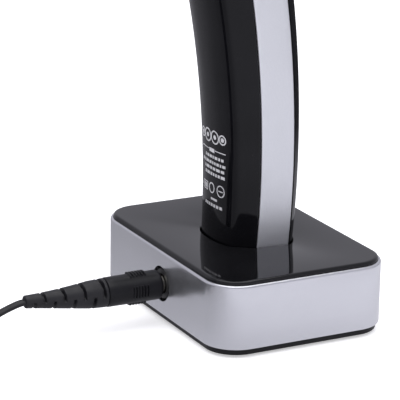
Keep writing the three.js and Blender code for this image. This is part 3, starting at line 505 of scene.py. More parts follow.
slot_of = {row["node"]: row["material_slot"] for row in frame["record"]["subparts"]}
for node_name, node in frame["nodes"].items():
    node.material_slots[0].material = LOOKS[slot_of[node_name]]


# ---- the handle's bent centre line and its cross-section ----
def smoothstep(value, low, high):
    t = min(max((value - low) / (high - low), 0), 1)
    return t * t * (3 - 2 * t)


def spine(z):
    bent = min(z, STRAIGHT_HEIGHT)
    slope = 2 * (STRAIGHT_HEIGHT - BEND_HEIGHT) / BEND_PARABOLA
    y = BEND_OFFSET + (bent - BEND_HEIGHT) ** 2 / BEND_PARABOLA + (z - bent) * slope
    return y, math.atan(2 * max(bent - BEND_HEIGHT, 0) / BEND_PARABOLA)


def on_handle(x, v, z):
    y, lean = spine(z)
    return (x, y + v * math.cos(lean), z - v * math.sin(lean))


HEAD_LEAN = spine(STRAIGHT_HEIGHT)[1]
HEAD = tilted(STRAIGHT_HEIGHT)


class Section:
    """Cross-section sizes at a height: v is measured from the centre line, + towards the rear."""

    def __init__(self, z):
        self.grow = 1 + GROWTH * (z - GROWTH_START)
        self.half = STRIP_HALF * (1 + 0.0004 * (z - GROWTH_START))
        recede = 1 - 0.1 * smoothstep(z, 100, 130)
        self.front = [(x * self.grow, v * self.grow * recede) for x,
                      v in ((13, -7.9), (7.5, -10.2), (0, -11))]
        self.rear = [(x * self.grow, v * self.grow) for x,
                     v in ((12.3, 9), (10.1, 12), (5.5, 13.6), (0, 14.1))]

    def face(self, v):
        return self.grow * (14.95 - 0.085 * v - 0.0018 * v * v)


def both_halves(half):
    return list(half) + [(-x, v) for x, v in reversed(half[:-1])]


def outer_line(z, side, per_span):
    """The shell's outside as a smooth line of [x, v] points from the right edge round to the left."""
    s = Section(z)
    edge = side * (s.half + SEAM)
    control = both_halves([(s.face(edge), edge)] + (s.rear if side > 0 else s.front))
    return smooth(control, per_span)


def line_normals(line):
    ahead = np.gradient(line, axis=0)
    ahead /= np.linalg.norm(ahead, axis=1)[:, None]
    normal = np.stack([ahead[:, 1], -ahead[:, 0]], axis=1)
    centre = np.array([0.0, 1.2])
    if np.sum(normal * (line - centre)) < 0:
        normal = -normal
    return normal


def shell_ring(z, side, shave=0.0):
    s = Section(z)
    per_span = 6 if side > 0 else 8
    line = outer_line(z, side, per_span)
    normal = line_normals(line)
    inner = (line - normal * WALL)[per_span:-per_span]
    line = line - normal * shave
    edge, lip, deep = side * (s.half + SEAM), side * 0.15, STRIP_THICK + GAP
    step = [(s.face(lip) - deep, lip), (s.face(edge) - deep, edge)]
    soft = 0.35
    corner = line[0]
    a, b = corner - np.array([soft, 0]), corner + (line[1] - line[0]) / np.linalg.norm(line[1] - line[0]) * soft
    bend = [tuple((1 - u) ** 2 * a + 2 * u * (1 - u) * corner + u * u * b) for u in (0, 0.25, 0.5, 0.75, 1)]
    flip = lambda pts: [(-x, v) for x, v in reversed(pts)]
    back = [(x - FLANGE_THICK, v) for x, v in step]
    loop = step + bend + [tuple(p) for p in line[1:-1]] + flip(bend) + flip(step)
    loop += flip(back)[::-1] + [tuple(p) for p in inner[::-1]] + back[::-1]
    return [on_handle(x, v, z) for x, v in loop]


SHELL_TOP = STRAIGHT_HEIGHT + SHELL_TOP_W * math.cos(HEAD_LEAN)
LEVELS = [(HANDLE_BOTTOM, 0.4), (HANDLE_BOTTOM + 0.12, 0.16), (HANDLE_BOTTOM + 0.4, 0.0)]
LEVELS += [(float(z), 0.0) for z in np.linspace(24, 120, 33)]
LEVELS += [(125.0, 0.0), (SHELL_TOP - 0.25, 0.0), (SHELL_TOP - 0.07, 0.08), (SHELL_TOP, 0.25)]


def strip_ring(z, shave=0.0):
    s = Section(z)
    vs = np.linspace(-s.half, s.half, 7)
    outline = [(s.face(v) - shave, v) for v in vs] + [(s.face(v) - STRIP_THICK, v) for v in vs[::-1]]
    return [on_handle(x, v, z) for x, v in eased(outline, 0.32, 4, 0.6)]


def handle_loop(z, offset, per_span=6):
    """The whole handle outline as a smooth closed loop, grown or shrunk by an offset."""
    s = Section(z)
    right = list(reversed(s.front)) + [(s.face(v), v) for v in (-s.half, 0, s.half)] + s.rear
    control = right + [(-x, v) for x, v in reversed(right[1:-1])]
    line = smooth(control, per_span, closed=True)
    reach = np.hypot(line[:, 0], line[:, 1] - 1.2)[:, None]
    return [tuple(p) for p in np.array([0, 1.2]) + (line - [0, 1.2]) * (1 + offset / reach)]


# ---- the free lead ----
COIL_CENTRE = (19.1, 106.0)
LANES = (21.1, 17.8, 14.5)
LAYER_Z = (2.1, 4.1, 6.1, 8.1)
LEAD_HALF_WIDTH, LEAD_HALF_THICK = 1.5, 0.82


def make_cord():
    """The whole lead: out of the plug, twelve turns of coil in four layers, and on to the adapter."""
    order = []
    for layer, z in enumerate(LAYER_Z):
        order += [(r, z) for r in (LANES if layer % 2 == 0 else LANES[::-1])]
    per_turn = 40
    coil = []
    for i in range(per_turn * len(order) + 1):
        # each crossing sits half a turn after the lead comes in, on the tie's side of the coil
        crossed = i / per_turn - 0.5
        done = min(max(math.floor(crossed + 0.5), 0), len(order) - 1)
        here = order[done]
        past = order[max(done - 1, 0)]
        share = crossed - (done - 1)
        radius = past[0] + (here[0] - past[0]) * smoothstep(share, 0.42, 0.5)
        height = past[1] + (here[1] - past[1]) * smoothstep(share, 0.5, 0.58)
        if done == 0:
            radius, height = here
        angle = math.pi - i / per_turn * math.tau
        coil.append((COIL_CENTRE[0] + radius * math.cos(angle), COIL_CENTRE[1] + radius * math.sin(angle),
                     height))
    start = [(-3, 74.6, 13.35), (-3, 76.7, 13.3), (-3, 79.5, 12.6), (-2.9, 83.6, 11.1), (-2.7, 87, 9.3),
             (-2.5, 90, 7.4), (-2.5, 92.6, 5.6), (-2.8, 95.4, 3.7), (-2.8, 98.4, 2.5), (-2.4, 102, 2.15)]
    end = [(-2.05, 110, 8.0), (-2.1, 115, 7.5), (-2.1, 119.2, 7.1), (-2.1, 123, 6.6), (-2.05, 128, 6.9),
           (-2, 132.6, 7.6), (-2, 134.2, 7.75)]
    path = np.vstack([smooth(start + [coil[0], coil[1]], 3)[:-4], np.array(coil),
                      smooth([coil[-2], coil[-1]] + end, 3)[4:]])
    along = np.gradient(path, axis=0)
    along /= np.linalg.norm(along, axis=1)[:, None]
    across = np.cross(along, [0, 0, 1])
    across /= np.linalg.norm(across, axis=1)[:, None]
    upward = np.cross(across, along)
    sides = 20
    rings = []
    for p, a, u in zip(path, across, upward):
        ring = []
        for k in range(sides):
            t = k / sides * math.tau
            wide, waist = math.cos(t), 1 - 0.42 * math.exp(-((math.cos(t) / 0.22) ** 2))
            ring.append(tuple(p + a * LEAD_HALF_WIDTH * wide + u * LEAD_HALF_THICK * math.sin(t) * waist
                              * (1 + 0.25 * abs(wide))))
        rings.append(ring)
    cord = piece(loft(rings), "lead_cord", "lead", "rubber_black",
                 ("cord_to_coil", "cord_coil", "cord_to_adapter"), 60)
    length = float(np.linalg.norm(np.diff(path, axis=0), axis=1).sum())
    return cord, path, length


lead_cord, lead_path, lead_length = make_cord()


# ---- charging stand ----
def swept(profile, loop=True):
    """A ring-shaped wall from [inset, z] points carried round the stand's outline."""
    return loft([[(x, y, z) for x, y in stand_outline(inset)] for inset, z in profile], loop)


def make_band():
    outside = [(0.42, BAND_BOTTOM), (0.12, BAND_BOTTOM + 0.1), (0, BAND_BOTTOM + 0.4)]
    outside += [(0, z) for z in (9, 16)]
    outside += [(0, BAND_TOP - 0.75), (0.06, BAND_TOP - 0.45), (0.2, BAND_TOP - 0.18),
                (0.38, BAND_TOP - 0.04),
                (0.55, BAND_TOP)]
    inside = [(0.8, BAND_TOP), (0.8, 21.6), (BAND_WALL, 21.6), (BAND_WALL, BAND_BOTTOM)]
    band = swept(outside + inside)
    hole = rod(5.6, 25, 32, "y", AT_JACK, 48)
    piece(cut(band, hole), "band", "stand", "satin_silver", ("silver_band",))


def make_plate():
    pocket_y = spine((POCKET_FLOOR + PLATE_TOP) / 2)[0]
    socket = lambda offset: [(x, v + pocket_y) for x, v in handle_loop(22, offset)]
    centre = np.array([0, 1.2 + pocket_y])
    angles = shared_angles(stand_outline(1), socket(1), centre)
    ring = lambda outline, z: [(x, y, z) for x, y in ray_ring(outline, centre, angles)]
    rings = [ring(socket(2), 18.6), ring(socket(2), 21.9)]
    rings += [ring(stand_outline(3.8), 21.9), ring(stand_outline(3.8), 19), ring(stand_outline(2.4), 19),
              ring(stand_outline(2.4), 21.9), ring(stand_outline(1), 21.9)]
    top = PLATE_TOP
    for inset, z in ((0.92, top - 1.05), (0.94, top - 0.75), (1.02, top - 0.45), (1.2, top - 0.2),
                     (1.5, top - 0.05),
                     (1.9, top), (2.3, top)):
        rings.append(ring(stand_outline(inset), z))
    for offset, z in ((POCKET_GAP + 0.5, top), (POCKET_GAP + 0.28, top - 0.04),
                      (POCKET_GAP + 0.08, top - 0.2),
                      (POCKET_GAP, top - 0.5), (POCKET_GAP, POCKET_FLOOR)):
        rings.append(ring(socket(offset), z))
    plate = loft(rings)
    bosses = [rod(3.2, 6.1, 22.2, "z", (x, y, 0)) for x, y in SCREW_SPOTS]
    holes = [rod(1.25, 5, 14, "z", (x, y, 0)) for x, y in SCREW_SPOTS]
    pins = [rod(1.35, 18, 21, "z", (side * PIN_X, spine(22)[0], 0)) for side, _ in SIDES]
    cut(join(plate, *bosses), *holes, *pins)
    piece(plate, "plate", "stand", "gloss_black", ("top_plate",), look=PLATE_LOOK)


def make_tray():
    rings = [(1.35, FOOT_DROP), (1.08, FOOT_DROP + 0.1), (0.97, FOOT_DROP + 0.4), (0.97, 2.5), (2.3, 2.5),
             (2.3, 6.5),
             (3.7, 6.5), (3.7, 2.5)]
    tray = swept(rings, False)
    foot_x, half_x, half_y = 33.0, 3.0 + GAP, 19.0 + GAP
    posts = [rod(3.6, 2.3, 5.6, "z", (x, y, 0)) for x, y in SCREW_SPOTS]
    pedestal = block(JACK_X - 5, JACK_X + 5, 16, 26.5, 2.3, 6.7)
    feet = []
    for side, _ in SIDES:
        outline = [(x + side * foot_x, y) for x, y in rounded_rect(half_x, -half_y, half_y, half_x - 0.05, 8)]
        feet.append(prism(outline, 0.5, 1.75))
    bores = [turned([(0, 0.5), (2.6, 0.5), (2.6, 3.2), (1.4, 3.2), (1.4, 6), (0, 6)], "z", (x, y, 0))
             for x, y in SCREW_SPOTS]
    piece(cut(join(tray, *posts, pedestal), *feet, *bores), "tray", "stand", "satin_black", ("base_tray",),
          look=TRAY_LOOK)
    for side, word in SIDES:
        outline = [(x + side * foot_x, y) for x, y in rounded_rect(3, -19, 19, 2.95, 8)]
        piece(prism(outline, 0, 1.4, ease=0.3), f"foot_{word}", "stand", "rubber_black",
              (f"rubber_foot_{word}",))


def make_jack():
    body = block(JACK_X - 4.6, JACK_X + 4.6, 15.5, 27.4, 7, 18.1, 0.25)
    collar = turned([(0, 27), (5.25, 27), (5.25, 27.8), (4.85, 28.1), (4.85, 29.3), (4.6, 29.7),
                     (0, 29.7)], "y",
                    AT_JACK, 48)
    bore = turned([(0, 18), (3.05, 18), (3.05, 29.4), (3.5, 30), (0, 30)], "y", AT_JACK, 40)
    pin = turned([(0, 14.8), (0.9, 14.8), (0.9, 27.6), (0.7, 28), (0.4, 28.2), (0, 28.2)], "y",
                 AT_JACK, 24)
    piece(join(cut(join(body, collar), bore), pin), "jack", "stand", "satin_black", ("dc_jack",))


# ---- handle ----
def make_shells():
    slot = lambda: moved(block(13.6, 16.05, -5.1, 0.7, -14.5, 11), HEAD)
    rear = loft([shell_ring(z, 1, shave) for z, shave in LEVELS])
    cut(rear, *pair(slot()))
    piece(rear, "shell_rear", "trimmer", "gloss_black", ("rear_shell",), 34)

    front = loft([shell_ring(z, -1, shave) for z, shave in LEVELS])
    bearing = moved(block(7.3, 8.6, -11, DIAL_V + 1.6, DIAL_W - 2, DIAL_W + 2), HEAD)
    boss = moved(rod(2.1, 1.5, 9.8, "z", (6.5, -7.6, 0)), HEAD)
    join(front, *pair(bearing), *pair(boss))
    axle = moved(rod(1.25, -9, 9, "x", (0, DIAL_V, DIAL_W)), HEAD)
    bore = moved(rod(1.15, 0, 11, "z", (6.5, -7.6, 0)), HEAD)
    window = moved(rod(6.4, -4.5, 4.5, "x", (0, DIAL_V, DIAL_W), 64), HEAD)
    gears = moved(rod(3.35, -7, 7, "x", (0, DIAL_V, DIAL_W)), HEAD)
    switch = moved(block(-1.9, 1.9, -16, -6, -2.9, 5.9), tilted(82))
    lens = moved(rod(1.3, -14, -6, "y"), tilted(62))
    cut(front, *pair(slot()), axle, *pair(bore), window, gears, switch, lens)
    piece(front, "shell_front", "trimmer", "gloss_black", ("front_shell",), 34)

    strip = loft([strip_ring(z, shave) for z, shave in LEVELS])
    twin = mirrored(strip)
    piece(strip, "strip_right", "trimmer", "satin_silver", ("side_strip_right",), 50, STRIP_LOOK)
    piece(twin, "strip_left", "trimmer", "satin_silver", ("side_strip_left",), 50, STRIP_LOOK)


class Rear:
    """The rear shell's outside as a surface over [x, z], for the printed marks."""

    def __init__(self):
        self.lines = {}

    def at(self, x, z, lift):
        key = round(z * 20)
        if key not in self.lines:
            line = outer_line(z, 1, 6)
            normal = line_normals(line)
            order = np.argsort(line[:, 0])
            self.lines[key] = (line[order], normal[order])
        line, normal = self.lines[key]
        v = np.interp(x, line[:, 0], line[:, 1])
        n = [np.interp(x, line[:, 0], normal[:, i]) for i in (0, 1)]
        return on_handle(x + n[0] * lift, v + n[1] * lift, z)


def make_marks():
    """Plain bars, discs and rings where the real handle is printed."""
    rear, verts, faces = Rear(), [], []
    top, under = 0.05, -0.04

    def strip_of(pairs, loop):
        """One thin closed patch over pairs of [x, z] points on its two long edges."""
        base, n = len(verts), len(pairs)
        for first, second in pairs:
            verts.extend([rear.at(*first, top), rear.at(*second, top), rear.at(*second, under),
                          rear.at(*first, under)])
        for i in range(n if loop else n - 1):
            a, b = base + 4 * i, base + 4 * ((i + 1) % n)
            faces.extend((a + k, a + (k + 1) % 4, b + (k + 1) % 4, b + k) for k in range(4))
        if not loop:
            faces.append((base, base + 3, base + 2, base + 1))
            faces.append(tuple(base + 4 * (n - 1) + k for k in range(4)))

    def bar(x0, x1, z0, z1):
        count = max(2, int(abs(x1 - x0) / 0.5) + 1)
        strip_of([((x, z0), (x, z1)) for x in np.linspace(x0, x1, count)], False)

    def ring(x, z, outside, inside, steps=36):
        turns = [i / steps * math.tau for i in range(steps)]
        strip_of([((x + outside * math.cos(t), z + outside * math.sin(t)),
                   (x + inside * math.cos(t), z + inside * math.sin(t))) for t in turns], True)

    def dashes(z, left, right, height, rng, longest=2.1):
        x = left
        while x < right - 0.4:
            length = rng.uniform(0.7, longest)
            bar(x, min(x + length, right), z, z + height)
            x += length + 0.5

    rng = random.Random(SEED)
    for x, radius in ((-6.1, 1.7), (-2.1, 2.3), (2.4, 2.3), (6.2, 1.7)):
        ring(x, 57.6, radius, radius - 0.45)
        ring(x, 57.6, 0.75, 0.02)
    bar(-7.4, -1.9, 52.9, 53.2)
    bar(-1.6, 1.6, 52.2, 53.5)
    bar(1.9, 7.4, 52.9, 53.2)
    for z, left, right in ((50.2, -6.4, 4.8), (48.2, -7.2, 7.2), (46.3, -6.6, 6.0), (44.4, -6.9, 5.6)):
        dashes(z, left, right, 0.95, rng)
    ring(-4.9, 40.3, 1.95, 1.6)
    bar(-6.0, -3.8, 40.1, 40.45)
    ring(0.2, 40.3, 1.75, 1.35)
    for x0, x1, z0, z1 in ((2.9, 6.6, 38.9, 39.2), (2.9, 6.6, 41.3, 41.6), (2.9, 3.2, 39.2, 41.3),
                           (6.3, 6.6, 39.2, 41.3),
                           (6.6, 7.0, 39.8, 40.7), (3.5, 4.4, 39.5, 41.0), (4.7, 5.6, 39.5, 41.0)):
        bar(x0, x1, z0, z1)
    bar(-3.1, 0.6, 36.5, 37.2)
    dashes(34.4, -5.8, 5.2, 0.95, rng, 1.7)
    piece(new_solid(verts, faces), "rear_print", "trimmer", "white_plastic", look=PRINT)


def screw(name, body, place, axis, at, head, length, sign=1):
    """A pan-head screw with a cross recess; head is (radius, near, far), sign is the way it looks."""
    radius, start, end = head
    span = end - start
    profile = [(0, start), (radius * 0.97, start), (radius, start + 0.15 * span),
               (radius, start + 0.45 * span),
               (radius * 0.86, start + 0.8 * span), (radius * 0.6, end), (0, end)]
    shank = [(0, start - length), (0.5, start - length), (0.85, start - length + 0.5),
             (0.85, start + 0.1), (0, start + 0.1)]
    flip = lambda pts: [(r, h * sign) for r, h in pts]
    solid = join(turned(flip(profile), axis, at, 40), turned(flip(shank), axis, at, 20))
    deep, wide, thin = 0.55 * span, radius * 0.62, radius * 0.15
    for a, b in ((wide, thin), (thin, wide)):
        low, high = sorted((sign * (end - deep), sign * (end + 0.2)))
        bounds = {"z": (-a, a, -b, b, low, high), "y": (-a, a, low, high, -b, b)}[axis]
        slot = block(*bounds)
        moved(slot, Matrix.Translation(at))
        cut(solid, slot)
    return piece(moved(solid, place), name[0], body, "steel", (name[1],))


def make_screws():
    flat = Matrix.Identity(4)
    for (side, word), (x, y) in zip(SIDES, SCREW_SPOTS):
        screw((f"base_bolt_{word}", f"stand_screw_{word}"), "stand", flat, "z", (x, y, 0),
              (2.3, -2.7, -1.2), 9.8, -1)
        screw((f"collar_bolt_{word}", f"collar_screw_{word}"), "trimmer", HEAD, "z", (side * 6.5, -7.6, 0),
              (2.0, 12.1, 13.2), 9.0)
        screw((f"blade_bolt_{word}", f"blade_screw_{word}"), "trimmer", HEAD, "y", (side * 9.4, 0, 22.2),
              (1.6, 10.65, 11.4), 4.6)
    screw(("foot_bolt", "bottom_cap_screw"), "trimmer", flat, "z", (0, spine(22)[0] + 7, 0),
          (1.8, -21.9, -21.1), 4.2, -1)


def make_head():
    collar_z = STRAIGHT_HEIGHT + 11.5 * math.cos(HEAD_LEAN)
    centre = np.array([0.0, 4.0])
    opening = rounded_rect(11.2, -4.6, 14.6, 4, 8)
    angles = shared_angles(handle_loop(collar_z, 0), opening, centre)
    rings = []
    for offset, w in ((-0.3, 10.3), (-0.08, 10.38), (0, 10.6), (0, 12.4), (-0.06, 12.7), (-0.22, 13.0),
                      (-0.5, 13.2),
                      (-0.9, 13.3)):
        rings.append([(x, y, w) for x, y in ray_ring(handle_loop(collar_z, offset), centre, angles)])
    for grow, w in ((0.3, 13.3), (0.08, 13.22), (0, 13.0), (0, 10.3)):
        hole = rounded_rect(11.2 + grow, -4.6 - grow, 14.6 + grow, 4 + grow, 8)
        rings.append([(x, y, w) for x, y in ray_ring(hole, centre, angles)])
    collar = loft(rings, True)
    well = turned([(0, 9), (1.15, 9), (1.15, 11.9), (2.3, 11.9), (2.3, 14), (0, 14)], "z", (6.5, -7.6, 0))
    cut(collar, *pair(block(13.6, 15.8, -4.5, 0.1, 9, 15)), *pair(well))
    piece(moved(collar, HEAD), "collar", "trimmer", "gloss_black", ("head_collar",))

    level = lambda w, size: [(x, y, w) for x, y in rounded_rect(*size, steps=8)]
    outside = loft([level(13.6, (12.85, -8.95, 12.35, 3.8)), level(13.7, (13.0, -9.1, 12.5, 3.95)),
                    level(14.0, (13.08, -8.9, 12.55, 4.0)), level(17, (13.0, -6.4, 12.35, 3.8)),
                    level(20.1, (12.9, -3.8, 12.15, 3.5)), level(20.3, (12.85, -3.62, 12.0, 3.4)),
                    level(20.4, (12.7, -3.5, 11.85, 3.3)), level(20.45, (12.7, -3.45, 9.1, 3)),
                    level(23.2, (12.4, 0.1, 9.1, 3)), level(23.5, (12.3, 0.5, 9.05, 2.9)),
                    level(23.6, (12.1, 0.75, 8.9, 2.8))])
    inside = loft([level(13, (11.7, -7.4, 11.2, 3)), level(20.5, (11.5, -2, 10.4, 2.5)),
                   level(24, (11, 2.2, 10.4, 2))])
    post = block(7.8, 11.8, 6.5, 9.1, 18.5, 23.6, 0.2)
    bore = rod(1.1, 5, 10, "y", (9.4, 0, 22.2))
    housing = cut(join(cut(outside, inside), *pair(post)), *pair(bore), block(-7.6, 7.6, 6, 12, 20.7, 25))
    piece(moved(housing, HEAD), "housing", "trimmer", "satin_black", ("head_housing",))


def make_comb():
    arm_outline = [(-3.9, -9), (-0.6, -9), (-0.6, 17), (1, 19.5), (9, 17.2), (12.9, 15.6), (14.4, 15.6),
                   (14.4, 19.6),
                   (9, 24.5), (2, 28.5), (-1.6, 28.5), (-3.9, 24)]
    tine_outline = [(12.8, 15.9), (14.3, 15.9), (14.6, 22), (14.9, 29), (14.4, 35.5), (12.8, 40.6),
                    (11, 43.4),
                    (10.4, 43), (11.4, 39.6), (12.3, 34.5), (12.4, 28)]
    tine = smooth(tine_outline[1:7], 4).tolist() + smooth(tine_outline[7:] + tine_outline[:1], 4).tolist()
    comb = block(-15, 15, 12.9, 14.4, 15.6, 19.4, 0.35)
    join(comb, *pair(prism(eased(arm_outline, 1.3, 4), 14, 15.4, "x", 0.25)))
    for i in range(-6, 7):
        join(comb, prism(tine, i * 2.15 - 0.55, i * 2.15 + 0.55, "x", 0.18))
    piece(moved(comb, HEAD), "comb_guard", "comb", "satin_black", ("guide_comb",))


def make_dial():
    rim = []
    for i in range(240):
        angle = i / 240 * math.tau
        radius = DIAL_RADIUS - 0.36 * (0.5 - 0.5 * math.cos(30 * angle)) ** 0.7
        rim.append((radius * math.cos(angle), radius * math.sin(angle)))
    gear = []
    for i in range(10):
        middle = (i + 0.5) / 10 * math.tau
        for radius, off in ((1.85, -0.175), (2.5, -0.115), (2.95, -0.045), (2.95, 0.045), (2.5, 0.115),
                            (1.85, 0.175)):
            gear.append((radius * math.cos(middle + off), radius * math.sin(middle + off)))
    dial = join(prism(rim, -4, 4, "x", 0.2), *pair(prism(gear, 3.8, 6.4, "x")))
    cut(dial, rod(1.25, -8, 8, "x"))
    place = HEAD @ Matrix.Translation((0, DIAL_V, DIAL_W))
    piece(moved(dial, place), "dial_wheel", "dial", "satin_black", ("length_dial",))


def make_spring(x, y, word):
    """A wire spring of four turns under the contact pin's collar."""
    turns, low, high, coil, wire = 4, 12.9, 15.9, 1.48, 0.22
    steps, rings = 28 * turns, []
    for i in range(steps + 1):
        t = i / steps
        angle = t * turns * math.tau
        z = low + wire + (high - low - 2 * wire) * t
        out = np.array([math.cos(angle), math.sin(angle), 0])
        ring = []
        for k in range(10):
            around = k / 10 * math.tau
            at = out * (coil + wire * math.cos(around)) + np.array([0, 0, wire * math.sin(around)])
            ring.append((x + at[0], y + at[1], z + at[2]))
        rings.append(ring)
    spring = piece(loft(rings), f"spring_{word}", "stand", "steel", (f"contact_spring_{word}",))
    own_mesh(spring)


def make_controls():
    side = [(-12.5, -7), (-13.0, -7), (-13.5, -6.4), (-13.68, -5), (-13.68, 5), (-13.5, 6.4), (-13.0, 7),
            (-12.5, 7)]
    button = prism(eased(side, 0.4, 3), -4.5, 4.5, "x", 0.35)
    ridges = [block(-3.4, 3.4, -14.1, -13.5, w - 0.38, w + 0.38, 0.16) for w in (-4, -2, 0, 2, 4)]
    join(button, *ridges, block(-1.5, 1.5, -12.7, -9, -2.5, 2.5), block(-1, 1, -9.2, -7, -2.5, 2.5))
    piece(moved(button, tilted(82)), "switch_cap", "power_switch", "satin_black",
          ("power_switch_button",))
    lens = turned([(0, -11.82), (0.45, -11.76), (0.8, -11.58), (1, -11.25), (1, -8), (0, -8)], "y")
    piece(moved(lens, tilted(62)), "led_window", "trimmer", "clear_lens", ("charge_led_lens",))
    for side_x, word in SIDES:
        y = spine(22)[0]
        make_spring(side_x * PIN_X, y, word)
        pad = turned([(0, 21.2), (1.9, 21.2), (2.04, 21.25), (2.1, 21.4), (2.1, 23.6), (0, 23.6)], "z",
                     (side_x * PIN_X, y, 0))
        piece(pad, f"pad_{word}", "trimmer", "nickel", (f"charge_pad_{word}",))
        tip = HANDLE_BOTTOM + GAP
        pin = turned([(0, 13.2), (0.9, 13.2), (0.9, 16.2), (1.75, 16.2), (1.75, 17.1), (1.05, 17.1),
                      (1.05, tip - 0.7),
                      (0.95, tip - 0.35), (0.7, tip - 0.1), (0.4, tip), (0, tip)], "z",
                      (side_x * PIN_X, y, 0))
        piece(pin, f"pin_{word}", f"contact_{word}", "brass", (f"contact_pin_{word}",))


# ---- lead: plug, strain reliefs and tie ----
def make_plug():
    sides = 96
    profile = [(3.2, 31.0), (3.75, 31.03), (4.2, 31.15), (4.5, 31.4), (4.62, 31.8), (4.65, 32.3)]
    profile += [(4.65, float(y)) for y in np.linspace(33, 35.6, 3)]
    profile += [(4.65, float(y)) for y in np.linspace(35.75, 41.75, 61)]
    profile += [(4.64, 43.0), (4.63, 45.0), (4.62, 47.0), (4.6, 48.8), (4.5, 49.15), (4.3, 49.3)]
    rings = []
    for radius, y in profile:
        ring = []
        for k in range(sides):
            angle = k / sides * math.tau
            r = radius
            # four grip pads, each with six ribs, stand a little proud of the round body
            off = (angle + math.pi / 4) % (math.pi / 2) - math.pi / 4
            reach = abs(radius * math.sin(off))
            if 35.8 < y < 41.7 and reach < 1.95:
                side = smoothstep(1.95 - reach, 0, 0.12)
                rib = 0.5 + 0.5 * math.cos((y - 36.3) / 0.98 * math.tau)
                r += side * (0.05 + 0.5 * smoothstep(rib, 0.2, 0.75)) * smoothstep(y, 35.8, 35.95) \
                    * smoothstep(41.7 - y, 0, 0.15)
            ring.append((JACK_X + r * math.cos(angle), y, JACK_Z + r * math.sin(angle)))
        rings.append(ring)
    piece(loft(rings), "plug_grip", "lead", "rubber_black", ("plug_body",), 40, PLUG_LOOK)


def relief_mesh(stations, x, centre_at, slots, first, pitch, width, depth, sides=64):
    """A tapered sleeve with half-ring slots that alternate between its upper and lower side."""
    ys = np.arange(stations[0][0], stations[-1][0] + 1e-6, 0.16)
    rings = []
    for y in ys:
        base = float(np.interp(y, [s[0] for s in stations], [s[1] for s in stations]))
        end = min(y - ys[0], ys[-1] - y)
        base -= 0.35 * max(0, 1 - end / 0.35) ** 2
        centre = centre_at(y)
        ring = []
        for k in range(sides):
            angle = k / sides * math.tau
            r = base
            for n in range(slots):
                upper = n % 2 == 0
                middle = first + n * pitch / 2
                # the slots lean a little, as the moulded ones do
                lean = 0.25 * math.cos(angle)
                near = abs(y - middle - lean)
                mask = smoothstep(width / 2 - near, -0.1, 0.14)
                face = math.sin(angle) if upper else -math.sin(angle)
                span = smoothstep(face, -0.12, 0.1)
                r -= min(depth, 0.42 * base) * mask * span
            ring.append((x + r * math.cos(angle), float(y), centre + r * math.sin(angle)))
        rings.append(ring)
    return loft(rings)


def make_reliefs():
    def centre(y):
        t = min(max((y - PLUG_END) / (RELIEF_END - PLUG_END), 0), 1)
        return JACK_Z + RELIEF_RISE * t * t

    stations = [(PLUG_END + 0.05, 4.5), (54.4, 4.3), (59.7, 3.6), (65.1, 2.95), (70.4, 2.4),
                (RELIEF_END, 1.95)]
    relief = relief_mesh(stations, JACK_X, centre, 8, 51.2, 6.3, 0.95, 1.3)
    piece(relief, "plug_relief", "lead", "rubber_black", ("plug_strain_relief",), 45)
    stations = [(133.0, 2.0), (139.0, 2.7), (144.7, 3.6)]
    second = relief_mesh(stations, -2.0, lambda y: 7.8, 4, 135.2, 4.6, 0.9, 0.9, 40)
    return piece(second, "adapter_relief", "lead", "rubber_black",
                 ("adapter_strain_relief",), 45)


def make_tie():
    """A flat twisted wire tie round the coil's tie side."""
    cx, cy = COIL_CENTRE
    low, high, inner, outer = 0.85, 9.6, 11.9, 23.1
    control = [(outer, low + 2), (outer, high - 2), (outer - 0.6, high - 0.3), (outer - 2, high + 0.1),
               (inner + 2, high + 0.1), (inner + 0.6, high - 0.3), (inner, high - 2), (inner, low + 2),
               (inner + 0.6, low + 0.3), (inner + 2, low - 0.1), (outer - 2, low - 0.1),
               (outer - 0.6, low + 0.3)]
    line = smooth(control, 5, closed=True)
    normal = np.roll(line, -1, axis=0) - np.roll(line, 1, axis=0)
    normal = np.stack([-normal[:, 1], normal[:, 0]], axis=1)
    normal /= np.linalg.norm(normal, axis=1)[:, None]
    middle = line.mean(axis=0)
    if np.sum(normal * (line - middle)) < 0:
        normal = -normal
    rings = []
    half, thick = 3.0, 0.55
    section = [(-half, 0), (-half + 0.3, thick), (-0.5, thick), (0, thick + 0.35), (0.5, thick),
               (half - 0.3, thick),
               (half, 0)]
    for p, n in zip(line, normal):
        ring = []
        for across, lift in section:
            q = p + n * lift
            ring.append((cx + q[0], cy + across, max(q[1], 0.05)))
        rings.append(ring)
    tie = loft(rings, True)
    return piece(tie, "lead_tie", "lead", "satin_black", ("cord_tie",), 40)


# ---- floor and light ----
def make_floor():
    size, cells = 3000.0, 24
    verts, faces = [], []
    for i in range(cells + 1):
        for j in range(cells + 1):
            verts.append((-size + 2 * size * i / cells, -size + 2 * size * j / cells, 0))
    for i in range(cells):
        for j in range(cells):
            a = i * (cells + 1) + j
            faces.append((a, a + cells + 1, a + cells + 2, a + 1))
    floor = new_solid(verts, faces, "floor")
    if floor.data.polygons[0].normal.z < 0:
        floor.data.flip_normals()
    look = Look("floor")
    look.colour(look.mix(look.ranged(look.noise(400, 2), 0, 1), (0.93, 0.93, 0.93), (0.95, 0.95, 0.95)))
    look.set(Roughness=0.9, Specular_IOR_Level=0.1, Emission_Color=(1, 1, 1, 1), Emission_Strength=0.45)
    floor.data.materials.append(look.material)


CARD_HALF, CARD_HEIGHT = 2500.0, 0.05
CARD_COLOUR = (0.985, 0.98, 1.07, 1)
CARD_AXIS, CARD_REACH = (0.885, 0.4655, 0), 0.6  # level direction, and how far in metres the fade runs each way
CARD_FADE = ((0.0, 1.0), (0.42, 0.97), (0.52, 0.52), (0.6, 0.42), (0.85, 0.35))  # place along it, brightness
DARK_AXIS, DARK_START, DARK_END, DARK_LEVEL = (0.087, -0.996, 0), 0.12, 0.24, 0.12


